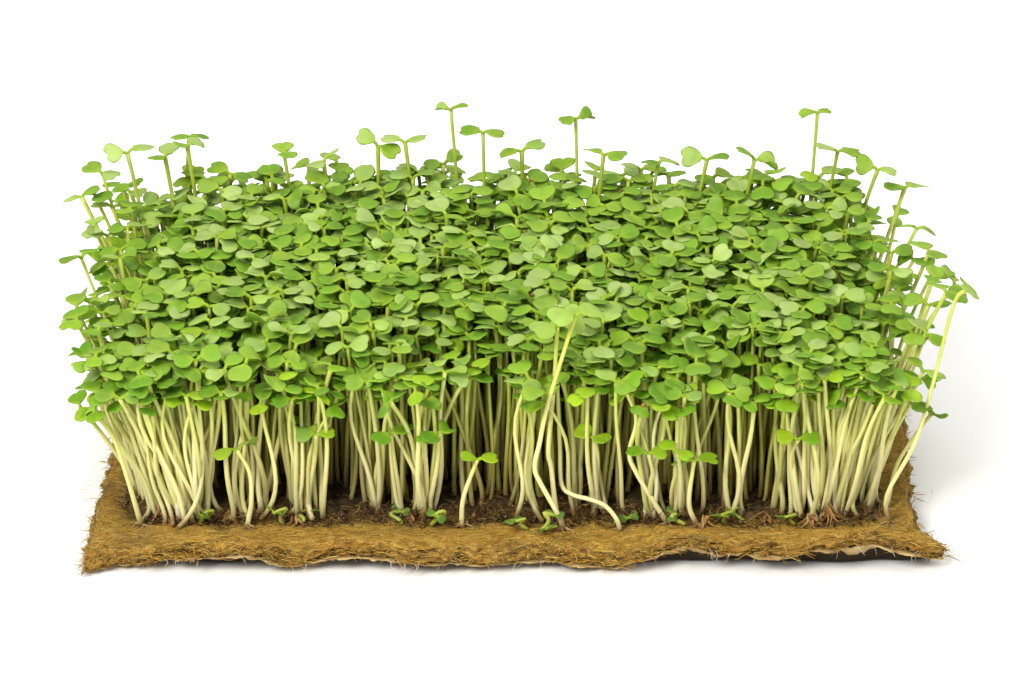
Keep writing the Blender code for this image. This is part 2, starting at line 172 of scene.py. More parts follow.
class Build:
    """Collects closed bodies for one mesh: points, faces, a colour per point, leaf coordinates, and a map cell per strip."""

    def __init__(self):
        self.points, self.colours, self.extra = [], [], []
        self.faces, self.maps, self.cells, self.slots = {3: [], 4: []}, {3: [], 4: []}, {3: [], 4: []}, {3: [], 4: []}
        self.count, self.cell = 0, 0

    def add(self, points, colours, faces, maps, cells, slot=0, extra=None):
        """faces, maps: lists of (k, 3 or 4) index arrays and (k, 3 or 4, 2) places. cells: a cell number per face."""
        n = len(points)
        self.points.append(points)
        self.colours.append(colours)
        self.extra.append(np.zeros((n, 3)) if extra is None else extra)
        for f, m, c in zip(faces, maps, cells):
            k = f.shape[1]
            self.faces[k].append(f + self.count)
            self.maps[k].append(m)
            self.cells[k].append(c)
            self.slots[k].append(np.full(len(f), slot))
        self.count += n

    def rings(self, rings, colours, start, end, start_colour=None, end_colour=None, slot=0, fronts=None, widths=None, extra=None):
        """Bodies skinned over rings: rings (F, N, S, 3), colours (F, N, S, 3), poles start and end (F, 3).
        fronts: the number of ring steps on the first side, where each body has a top and an underside."""
        f, n, s, _ = rings.shape
        points = np.concatenate([rings.reshape(f, n * s, 3), start[:, None], end[:, None]], 1)
        sc = colours[:, 0].mean(1) if start_colour is None else start_colour
        ec = colours[:, -1].mean(1) if end_colour is None else end_colour
        tints = np.concatenate([colours.reshape(f, n * s, 3), sc[:, None], ec[:, None]], 1)
        more = np.zeros((f, n * s + 2, 3))
        if extra is not None:
            more[:, : n * s] = extra.reshape(f, n * s, 3)
            more[:, n * s] = extra[:, 0].mean(1)
            more[:, n * s + 1] = extra[:, -1].mean(1)
        j = np.arange(s)
        j1 = (j + 1) % s
        k = np.arange(n - 1)[:, None]
        quads = np.stack([k * s + j, k * s + j1, (k + 1) * s + j1, (k + 1) * s + j], -1).reshape(-1, 4)
        first = np.stack([np.full(s, n * s), j1, j], -1)
        last = np.stack([np.full(s, n * s + 1), (n - 1) * s + j, (n - 1) * s + j1], -1)
        if widths is None:
            left, right = j / s, (j + 1) / s
        else:
            left, right = widths[j], widths[j1]
        row = 0.03 + 0.94 * np.arange(n) / (n - 1)
        lo, hi = row[:-1][:, None] + 0 * left, row[1:][:, None] + 0 * left
        le, ri = left + 0 * lo, right + 0 * lo
        places = np.stack([np.stack([le, lo], -1), np.stack([ri, lo], -1), np.stack([ri, hi], -1), np.stack([le, hi], -1)], 2).reshape(-1, 4, 2)
        mid = (left + right) / 2
        place_first = np.stack([np.stack([mid, 0 * mid], -1), np.stack([right, 0 * mid + 0.03], -1), np.stack([left, 0 * mid + 0.03], -1)], 1)
        place_last = np.stack([np.stack([mid, 0 * mid + 1], -1), np.stack([left, 0 * mid + 0.97], -1), np.stack([right, 0 * mid + 0.97], -1)], 1)
        if fronts is None:
            side_q, side_t, per = np.zeros(len(quads), int), np.zeros(s, int), 1
        else:
            under = (j >= fronts).astype(int)
            side_q, side_t, per = np.tile(under, n - 1), under, 2
        base = (np.arange(f) * (n * s + 2))[:, None, None]
        number = self.cell + np.arange(f)[:, None] * per
        self.cell += f * per
        tri = np.concatenate([first, last])
        tri_places = np.concatenate([place_first, place_last])
        tri_side = np.concatenate([side_t, side_t])
        self.add(
            points.reshape(-1, 3), tints.reshape(-1, 3),
            [(quads[None] + base).reshape(-1, 4), (tri[None] + base).reshape(-1, 3)],
            [np.tile(places, (f, 1, 1)), np.tile(tri_places, (f, 1, 1))],
            [(number + side_q[None]).ravel(), (number + tri_side[None]).ravel()],
            slot, more.reshape(-1, 3),
        )

    def tubes(self, paths, radii, sides, colours, slot=0, cap=0.7, flat=1.0):
        """Tubes along paths (F, N, 3) with radii (F, N) and colours (F, N, 3)."""
        paths, radii = np.asarray(paths, float), np.asarray(radii, float)
        tan = unit(np.gradient(paths, axis=1))
        ref = np.where(np.abs(tan[:, 0, 2:3]) < 0.9, np.array([0, 0, 1.0]), np.array([1.0, 0, 0]))
        a = unit(np.cross(tan[:, 0], ref))
        across = np.empty_like(paths)
        for k in range(paths.shape[1]):
            a = unit(a - (a * tan[:, k]).sum(-1, keepdims=True) * tan[:, k])
            across[:, k] = a
        up = np.cross(tan, across)
        angle = 2 * PI * np.arange(sides) / sides
        ring = (
            paths[:, :, None]
            + radii[:, :, None, None] * (np.cos(angle)[:, None] * across[:, :, None] + flat * np.sin(angle)[:, None] * up[:, :, None])
        )
        self.rings(
            ring, np.repeat(colours[:, :, None], sides, 2),
            paths[:, 0] - tan[:, 0] * radii[:, :1] * cap, paths[:, -1] + tan[:, -1] * radii[:, -1:] * cap, slot=slot,
        )

    def object(self, name, materials, replaces=(), smooth=True):
        points = (np.concatenate(self.points) + OFFSET) * MM
        mesh = bpy.data.meshes.new(name)
        tris = np.concatenate(self.faces[3]) if self.faces[3] else np.zeros((0, 3), int)
        quads = np.concatenate(self.faces[4]) if self.faces[4] else np.zeros((0, 4), int)
        loops = np.concatenate([tris.ravel(), quads.ravel()])
        totals = np.concatenate([np.full(len(tris), 3), np.full(len(quads), 4)])
        starts = np.concatenate([[0], np.cumsum(totals)[:-1]])
        mesh.vertices.add(len(points))
        mesh.vertices.foreach_set("co", points.astype(np.float32).ravel())
        mesh.loops.add(len(loops))
        mesh.loops.foreach_set("vertex_index", loops.astype(np.int32))
        mesh.polygons.add(len(totals))
        mesh.polygons.foreach_set("loop_start", starts.astype(np.int32))
        slots = np.concatenate([*self.slots[3], *self.slots[4]])
        mesh.polygons.foreach_set("material_index", slots.astype(np.int32))
        mesh.polygons.foreach_set("use_smooth", np.full(len(totals), smooth))
        mesh.update(calc_edges=True)
        colour = mesh.color_attributes.new(name="tint", type="FLOAT_COLOR", domain="POINT")
        rgba = np.concatenate([np.concatenate(self.colours), np.ones((len(points), 1))], 1)
        colour.data.foreach_set("color", np.clip(rgba, 0, 1).astype(np.float32).ravel())
        extra = mesh.attributes.new("leafco", "FLOAT_VECTOR", "POINT")
        extra.data.foreach_set("vector", np.concatenate(self.extra).astype(np.float32).ravel())
        side = max(1, math.ceil(math.sqrt(self.cell)))
        places, cells = [], []
        for k in (3, 4):
            if self.maps[k]:
                m, c = np.concatenate(self.maps[k]), np.concatenate(self.cells[k])
                places.append(m.reshape(-1, 2))
                cells.append(np.repeat(c, k))
        m, c = np.concatenate(places), np.concatenate(cells)
        at = np.stack([c % side, c // side], -1)
        uv = (at + 0.06 + 0.88 * m) / side
        layer = mesh.uv_layers.new(name="OFBake")
        layer.data.foreach_set("uv", uv.astype(np.float32).ravel())
        for material in materials:
            mesh.materials.append(material)
        mesh.validate()
        obj = bpy.data.objects.new(name, mesh)
        bpy.context.scene.collection.objects.link(obj)
        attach(obj, "root")
        if replaces:
            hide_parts(*replaces)
        return obj


# ------------------------------------------------------------------ materials


class Nodes:
    """Short hand for a material's nodes."""

    def __init__(self, name):
        self.mat = bpy.data.materials.new(name)
        self.mat.use_nodes = True
        self.tree = self.mat.node_tree
        self.shader = self.tree.nodes["Principled BSDF"]
        self.out = self.tree.nodes["Material Output"]

    def node(self, kind, values=None, **settings):
        n = self.tree.nodes.new(kind)
        for key, value in settings.items():
            setattr(n, key, value)
        for key, value in (values or {}).items():
            if isinstance(value, bpy.types.NodeSocket):
                self.tree.links.new(value, n.inputs[key])
            else:
                n.inputs[key].default_value = value
        return n

    def link(self, a, b):
        self.tree.links.new(a, b)

    def colour(self):
        return self.node("ShaderNodeVertexColor", layer_name="tint").outputs["Color"]

    def place(self):
        return self.node("ShaderNodeTexCoord").outputs["Object"]

    def noise(self, scale, detail=3.0, rough=0.5, vector=None, stretch=None, turn=(0, 0, 0)):
        v = vector or self.place()
        if stretch:
            v = self.node("ShaderNodeMapping", {"Vector": v, "Scale": stretch, "Rotation": turn}).outputs["Vector"]
        return self.node("ShaderNodeTexNoise", {"Vector": v, "Scale": scale, "Detail": detail, "Roughness": rough}).outputs["Fac"]

    def math(self, kind, a, b=0.0, clamp=False):
        n = self.node("ShaderNodeMath", operation=kind, use_clamp=clamp)
        for i, x in enumerate((a, b)):
            if isinstance(x, bpy.types.NodeSocket):
                self.link(x, n.inputs[i])
            else:
                n.inputs[i].default_value = x
        return n.outputs[0]

    def range(self, x, a, b, c, d):
        return self.node("ShaderNodeMapRange", {"Value": x, "From Min": a, "From Max": b, "To Min": c, "To Max": d}, clamp=True).outputs["Result"]

    def blend(self, a, b, share, kind="MIX"):
        n = self.node("ShaderNodeMix", data_type="RGBA", blend_type=kind, clamp_factor=True)
        for i, x in ((0, share), (6, a), (7, b)):
            if isinstance(x, bpy.types.NodeSocket):
                self.link(x, n.inputs[i])
            elif i == 0:
                n.inputs[0].default_value = x
            else:
                n.inputs[i].default_value = (*x, 1)
        return n.outputs[2]

    def bump(self, height, distance, strength=1.0):
        return self.node("ShaderNodeBump", {"Height": height, "Distance": distance, "Strength": strength}).outputs["Normal"]


def see_through(m, colour, share, normal=None):
    """Lets a share of the light through, as thin living tissue does."""
    through = m.node("ShaderNodeBsdfTranslucent", {"Color": colour})
    if normal is not None:
        m.link(normal, through.inputs["Normal"])
    both = m.node("ShaderNodeMixShader", {0: share})
    m.link(m.shader.outputs[0], both.inputs[1])
    m.link(through.outputs[0], both.inputs[2])
    m.link(both.outputs[0], m.out.inputs["Surface"])


def leaf_material():
    """Cotyledon skin: green with pale veins, a grey waxy bloom above that is partly painted sheen, and light coming
    through.
    """
    m = Nodes("cotyledon_leaf")
    tint = m.colour()
    co = m.node("ShaderNodeAttribute", attribute_name="leafco").outputs["Vector"]
    parts = m.node("ShaderNodeSeparateXYZ", {0: co})
    along, across, upper = parts.outputs[0], parts.outputs[1], parts.outputs[2]
    width = m.math("ABSOLUTE", across)
    rib = m.range(width, 0.0, 0.10, 1.0, 0.0)
    # side veins run outwards and forwards from the rib
    wave = m.math("SINE", m.math("MULTIPLY", m.math("SUBTRACT", along, m.math("MULTIPLY", width, 0.55)), 19.0))
    vein = m.math("MULTIPLY", m.range(wave, 0.90, 1.0, 0.0, 1.0), m.range(width, 0.75, 0.98, 1.0, 0.0))
    veins = m.math("MAXIMUM", rib, m.math("MULTIPLY", vein, 0.55))
    fine = m.noise(2600, 2.0, 0.6)
    broad = m.noise(260, 2.0, 0.5)
    c = m.blend(tint, (0.38, 0.50, 0.09), m.math("MULTIPLY", veins, 0.26))
    c = m.blend(c, (0.02, 0.07, 0.008), m.range(broad, 0.52, 0.75, 0.0, 0.2))
    # grey speckle on the upper side: partly the waxy bloom, partly painted sheen
    c = m.blend(c, (0.42, 0.52, 0.26), m.math("MULTIPLY", m.range(fine, 0.45, 0.7, 0.01, 0.09), upper))
    m.link(c, m.shader.inputs["Base Color"])
    m.link(m.range(broad, 0.3, 0.7, 0.40, 0.56), m.shader.inputs["Roughness"])
    m.shader.inputs["Specular IOR Level"].default_value = 0.34
    m.shader.inputs["Sheen Weight"].default_value = 0.05
    m.shader.inputs["Sheen Roughness"].default_value = 0.45
    height = m.math("ADD", m.math("MULTIPLY", veins, -0.7), m.math("MULTIPLY", fine, 0.35))
    normal = m.bump(height, 0.00016, 0.55)
    m.link(normal, m.shader.inputs["Normal"])
    through = m.blend(c, (0.56, 0.74, 0.01), 0.6)
    see_through(m, through, 0.36)
    return m.mat


def stem_material():
    """Hypocotyl: juicy, pale, finely streaked along its length."""
    m = Nodes("hypocotyl_stem")
    tint = m.colour()
    streak = m.noise(900, 2.0, 0.5, stretch=(1, 1, 0.06))
    blotch = m.noise(160, 2.0, 0.5)
    c = m.blend(tint, (0.86, 0.82, 0.50), m.range(streak, 0.5, 0.75, 0.0, 0.30))
    c = m.blend(c, (0.36, 0.36, 0.12), m.range(blotch, 0.55, 0.8, 0.0, 0.22))
    m.link(c, m.shader.inputs["Base Color"])
    m.link(m.range(streak, 0.3, 0.7, 0.30, 0.46), m.shader.inputs["Roughness"])
    m.shader.inputs["Specular IOR Level"].default_value = 0.5
    m.link(m.bump(streak, 0.00012, 0.5), m.shader.inputs["Normal"])
    see_through(m, m.blend(c, (0.75, 0.78, 0.30), 0.35), 0.24)
    return m.mat


def felt_material():
    """Matted plant fibre: crossing streaks at several angles over a mottled ground; the streaks and lumps fade where
    the tint is dark.
    """
    m = Nodes("fibre_felt")
    tint = m.colour()
    streaks = None
    for k, (angle, size) in enumerate(((0.3, 240), (1.25, 300), (2.2, 260), (2.9, 340))):
        s = m.noise(size, 2.0, 0.6, stretch=(1, 9, 5), turn=(0.2 * k, 0.1, angle))
        s = m.range(s, 0.52, 0.66, 0.0, 1.0)
        streaks = s if streaks is None else m.math("MAXIMUM", streaks, s)
    fine = m.noise(1700, 4.0, 0.65)
    lump = m.noise(220, 3.0, 0.6)
    # share by the tint's paleness: streaks and lumps fade where the tint is dark, as in the painted shade of the pits
    # and the underside
    pale_share = m.range(tint, 0.012, 0.11, 0.06, 1.0)
    c = m.blend(tint, (0.12, 0.070, 0.018), m.math("MULTIPLY", m.range(lump, 0.48, 0.72, 0.0, 0.50), pale_share))
    c = m.blend(c, (0.68, 0.48, 0.13), m.math("MULTIPLY", m.math("MULTIPLY", streaks, 0.40), pale_share))
    c = m.blend(c, (0.05, 0.026, 0.006), m.range(fine, 0.50, 0.66, 0.0, 0.62))
    c = m.blend(c, (0.80, 0.58, 0.15), m.math("MULTIPLY", m.range(fine, 0.30, 0.42, 0.45, 0.0), pale_share))
    m.link(c, m.shader.inputs["Base Color"])
    m.link(m.range(fine, 0.3, 0.7, 0.80, 0.97), m.shader.inputs["Roughness"])
    m.shader.inputs["Specular IOR Level"].default_value = 0.22
    height = m.math("ADD", m.math("MULTIPLY", streaks, 0.8), m.math("ADD", m.math("MULTIPLY", fine, 0.8), m.math("MULTIPLY", lump, 0.8)))
    m.link(m.bump(height, 0.0007, 0.9), m.shader.inputs["Normal"])
    return m.mat


def plain_material(name, rough, specular, share=0.0, scale=1400, dark=(0.04, 0.02, 0.01), amount=0.35, through=(0.6, 0.5, 0.3)):
    """A tinted, mottled skin for fibres, roots and hulls."""
    m = Nodes(name)
    tint = m.colour()
    grain = m.noise(scale, 3.0, 0.6)
    c = m.blend(tint, dark, m.range(grain, 0.48, 0.72, 0.0, amount))
    m.link(c, m.shader.inputs["Base Color"])
    m.link(m.range(grain, 0.3, 0.7, rough - 0.08, rough + 0.08), m.shader.inputs["Roughness"])
    m.shader.inputs["Specular IOR Level"].default_value = specular
    m.link(m.bump(grain, 0.0001, 0.6), m.shader.inputs["Normal"])
    if share:
        see_through(m, m.blend(c, through, 0.4), share)
    return m.mat


LEAF, STEM, FELT = leaf_material(), stem_material(), felt_material()
FIBRE = plain_material("loose_fibre", 0.75, 0.3, 0.12, through=(0.7, 0.5, 0.2))
ROOT = plain_material("root_knit", 0.7, 0.3, 0.0, scale=900, dark=(0.012, 0.008, 0.004), amount=0.6)
ROOTLET = plain_material("white_rootlet", 0.45, 0.45, 0.25, dark=(0.4, 0.3, 0.15), amount=0.25, through=(0.8, 0.75, 0.6))
HULL = plain_material("seed_hull", 0.38, 0.5, 0.0, scale=1900, dark=(0.02, 0.008, 0.004), amount=0.5)
SKIN = plain_material("felt_backing_skin", 0.7, 0.3, 0.10, scale=700, dark=(0.22, 0.15, 0.07), amount=0.55)

# ------------------------------------------------------------------ the felt


def felt_tint(x, y, u, v, top=1.0):
    """Colour of the felt's top: straw and rust at the torn edge, darker under the plants, grey at the left corner."""
    base = srgb(214, 164, 62)[None] * np.ones(x.shape + (3,))
    n = fractal(x, y, 22, 3, 1)[..., None]
    base = mix(base, srgb(232, 184, 78), np.clip(n * 1.2, 0, 1))
    base = mix(base, srgb(172, 132, 54), np.clip(-n * 1.3, 0, 1))
    rust = np.clip(fractal(x, y, 13, 2, 4) * 2.0 - 0.5, 0, 1)[..., None]
    base = mix(base, srgb(214, 140, 38), 0.6 * rust)
    yellow = np.clip(fractal(x, y, 9, 2, 8) * 2.2 - 0.7, 0, 1)[..., None]
    base = mix(base, srgb(222, 178, 66), 0.6 * yellow)
    edge = fade(np.minimum(v * MAT_D, np.minimum(u, 1 - u) * MAT_W), 5)[..., None]
    base = mix(base, srgb(206, 162, 80), 0.5 * edge)
    # the felt is painted darker where it lies under the plants, less so near the left and right sides
    under_plants_dark = np.clip((y + 48.6 + 4.2 * noise(x, y, 11, 6) + 2.0 * noise(x, y, 2.5, 7)) / 9, 0, 1)[..., None]
    inside = (1 - fade(u * MAT_W - 3, 9) * 0.8) * (1 - fade((1 - u) * MAT_W - 7, 11) * 0.85)
    base = mix(base, srgb(60, 48, 24), 0.8 * under_plants_dark * inside[..., None])
    grey = (fade(np.hypot(x + 112, (y + 56) * 1.6), 17) * np.clip(0.8 + noise(x, y, 6, 2), 0, 1))[..., None]
    base = mix(base, srgb(150, 128, 90), 0.7 * grey)
    return base


def smooth_steps(n, power):
    """n+1 numbers from 0 to 1 with finer steps at both ends."""
    t = np.linspace(-1, 1, n + 1)
    return 0.5 + 0.5 * np.sign(t) * (1 - (1 - np.abs(t)) ** power)


def build_felt():
    nu, nv, layers = 330, 112, 9
    u = np.linspace(0, 1, nu + 1)
    front = np.linspace(0, 1, 41)[:-1] * 0.165
    rest = 0.165 + (1 - 0.165) * (1 - (1 - np.linspace(0, 1, nv - 39)) ** 1.25)
    v = np.concatenate([front, rest])
    nv = len(v) - 1
    uu, vv = np.meshgrid(u, v)  # rows along v
    x, y = mat_plan(uu, vv)
    near = fade(np.minimum(vv, 1 - vv) * MAT_D, 4) + fade(np.minimum(uu, 1 - uu) * MAT_W, 4)
    rim = np.clip(near, 0, 1)
    x = x + rim * (0.9 * noise(x, y, 5.0, 2) + 0.5 * noise(x, y, 1.7, 3))
    y = y + rim * (1.0 * noise(x, y, 5.5, 4) + 0.55 * noise(x, y, 1.6, 5))
    # the corners flare out
    for cx, cy, dx, dy in ((-125, -63.5, 0.6, -0.3), (122, -63.5, 0.6, -0.2), (-125, 63.5, -0.3, 0.4), (120, 63.5, 0.6, 0.4)):
        w = fade(np.hypot(x - cx, y - cy), 15)
        x, y = x + dx * w, y + dy * w
    low = mat_under(uu, vv)
    high = mat_lift(uu, vv) + mat_thickness(uu, vv)
    shell = fractal(x, y, 9, 3, 1) * 0.5 + fractal(x, y, 2.2, 3, 7) * 0.42 + 0.22 * fractal(x * 0.5, y * 1.6, 1.5, 2, 27)
    bare = np.clip(1.25 - np.clip((y + 50) / 8, 0, 1) * 0.75, 0.4, 1.25)
    top = np.stack([x, y, high + shell * bare + rim * 0.35 * noise(x, y, 1.3, 9)], -1)
    # the top skin stands back from the torn edge
    back = 1.1 * fade(vv * MAT_D, 3) * (0.8 + 0.8 * noise(x, y, 3, 12))
    top[..., 1] += back - 0.9 * fade((1 - vv) * MAT_D, 3)
    top[..., 0] += 0.8 * (fade(uu * MAT_W, 3) - fade((1 - uu) * MAT_W, 3))
    bottom = np.stack([x, y, low + 0.06 + 0.06 * noise(x, y, 2.5, 6) + rim * 0.25 * (1 + noise(x, y, 1.8, 8)) * (low > 0.4)], -1)
    bottom[..., 2] = np.maximum(bottom[..., 2], 0.0)
    tint_top = felt_tint(x, y, uu, vv)
    # painted shade in the felt's pits and painted light on its raised tufts
    pit_shade = np.clip(-shell * 1.1, 0, 0.65)[..., None]
    tint_top = tint_top * (1 - pit_shade) * (1 + 0.2 * np.clip(shell, 0, 1)[..., None])
    # the underside: a dark brown, partly the felt's own colour and partly painted shade, turning near black more than
    # 10 mm in from the front edge as painted shade under the mat
    tint_low = mix(srgb(92, 68, 32), srgb(124, 96, 52), 0.5 + 0.5 * fractal(x, y, 12, 3, 15)[..., None])
    tint_low = mix(tint_low, srgb(20, 13, 6), 0.92 * fade(vv * MAT_D - 10, 20)[..., None])
    n_grid = (nu + 1) * (nv + 1)
    # the perimeter, counter-clockwise from above
    idx = np.arange(n_grid).reshape(nv + 1, nu + 1)
    loop = np.concatenate([idx[0, :-1], idx[:-1, -1], idx[-1, ::-1][:-1], idx[::-1, 0][:-1]])
    t, b = top.reshape(-1, 3)[loop], bottom.reshape(-1, 3)[loop]
    m = len(loop)
    run = np.concatenate([[0], np.cumsum(np.linalg.norm(np.diff(t[:, :2], axis=0), axis=1))])
    way = unit(np.roll(t[:, :2], -1, 0) - np.roll(t[:, :2], 1, 0))
    out = np.stack([way[:, 1], -way[:, 0]], -1)
    walls, tints = [], []
    for k in range(1, layers):
        s = k / layers
        p = b + (t - b) * s
        belly = math.sin(PI * s) * 0.9
        rough = 1.3 * noise(run, 0 * run + k * 3.3, 3.4, 3) + 0.8 * noise(run, 0 * run + k * 5.1, 0.9, 9) + 0.9 * noise(run, 0 * run + k * 0.9, 9, 5)
        push = belly + rough * math.sin(PI * min(1, s + 0.12)) ** 0.5
        p = p.copy()
        p[:, :2] += out * push[:, None]
        p[:, 2] += 0.35 * noise(run, 0 * run + k, 2.0, 14)
        walls.append(p)
        # the layers are painted darker where the torn edge is pushed in and paler where it stands out: painted shade in
        # the gaps between layers
        c = mix(srgb(196, 148, 60), srgb(48, 30, 12), np.clip(0.5 - 0.62 * rough, 0, 1)[:, None])
        c = mix(c, srgb(190, 120, 40), 0.5 * np.clip(noise(run, 0 * run, 14, 21), 0, 1)[:, None])
        # the lowest row is the pale backing lip; the two rows above it are painted dark as the shade under the lifted
        # edge
        if k == 1:
            c = mix(c, srgb(150, 120, 72), 0.5)
        elif k < 4:
            c = mix(c, srgb(56, 38, 16), 0.6 - 0.15 * k)
        tints.append(c)
    points = np.concatenate([top.reshape(-1, 3), bottom.reshape(-1, 3), *walls])
    colours = np.concatenate([tint_top.reshape(-1, 3), tint_low.reshape(-1, 3), *tints])
    a, bq, c, d = idx[:-1, :-1].ravel(), idx[:-1, 1:].ravel(), idx[1:, 1:].ravel(), idx[1:, :-1].ravel()
    f_top = np.stack([a, bq, c, d], -1)
    f_low = np.stack([a, d, c, bq], -1) + n_grid
    rows = [loop + n_grid] + [2 * n_grid + (k - 1) * m + np.arange(m) for k in range(1, layers)] + [loop]
    f_wall = np.concatenate([np.stack([lo, np.roll(lo, -1), np.roll(hi, -1), hi], -1) for lo, hi in zip(rows, rows[1:])])
    uv = np.stack([uu, vv], -1).reshape(-1, 2)
    m_top, m_low = uv[f_top], uv[(f_low - n_grid)]
    s0 = np.arange(m) / m
    m_wall = np.concatenate([
        np.stack([np.stack([s0, 0 * s0 + k / layers], -1), np.stack([s0 + 1 / m, 0 * s0 + k / layers], -1),
                  np.stack([s0 + 1 / m, 0 * s0 + (k + 1) / layers], -1), np.stack([s0, 0 * s0 + (k + 1) / layers], -1)], 1)
        for k in range(layers)
    ])
    build = Build()
    build.add(points, colours, [f_top, f_low, f_wall], [m_top, m_low, m_wall], [np.zeros(len(f_top), int), np.full(len(f_low), 1), np.full(len(f_wall), 2)])
    build.cell = 3
    build.object("fibre_mat", [FELT], replaces=("growing_mat",))
    return {"top": top, "bottom": bottom, "loop_top": t, "loop_low": b, "out": out, "run": run, "u": uu, "v": vv}


def wander(rng, start, heading, length, steps, bend, flat=0.25):
    """Paths (F, steps, 3) that wander from their starts."""
    f = len(start)
    turn = np.cumsum(rng.normal(0, bend, (f, steps)), 1) + rng.normal(0, bend * 0.6, (f, 1)) * np.arange(steps)
    head = heading[:, None] + turn
    climb = np.cumsum(rng.normal(0, bend * flat, (f, steps)), 1)
    d = np.stack([np.cos(head), np.sin(head), climb], -1) * (length / (steps - 1))[:, None, None]
    return start[:, None] + np.concatenate([np.zeros((f, 1, 3)), np.cumsum(d[:, 1:], 1)], 1)


STRAW = np.array([srgb(208, 170, 86), srgb(190, 146, 60), srgb(170, 130, 56), srgb(220, 190, 118), srgb(146, 104, 44), srgb(200, 140, 48)]) * (1.0, 1.0, 0.72)


def fibre_tints(rng, n, steps, colours=STRAW):
    base = colours[rng.integers(0, len(colours), n)] * rng.uniform(0.62, 1.15, (n, 1))
    return np.repeat(base[:, None], steps, 1)


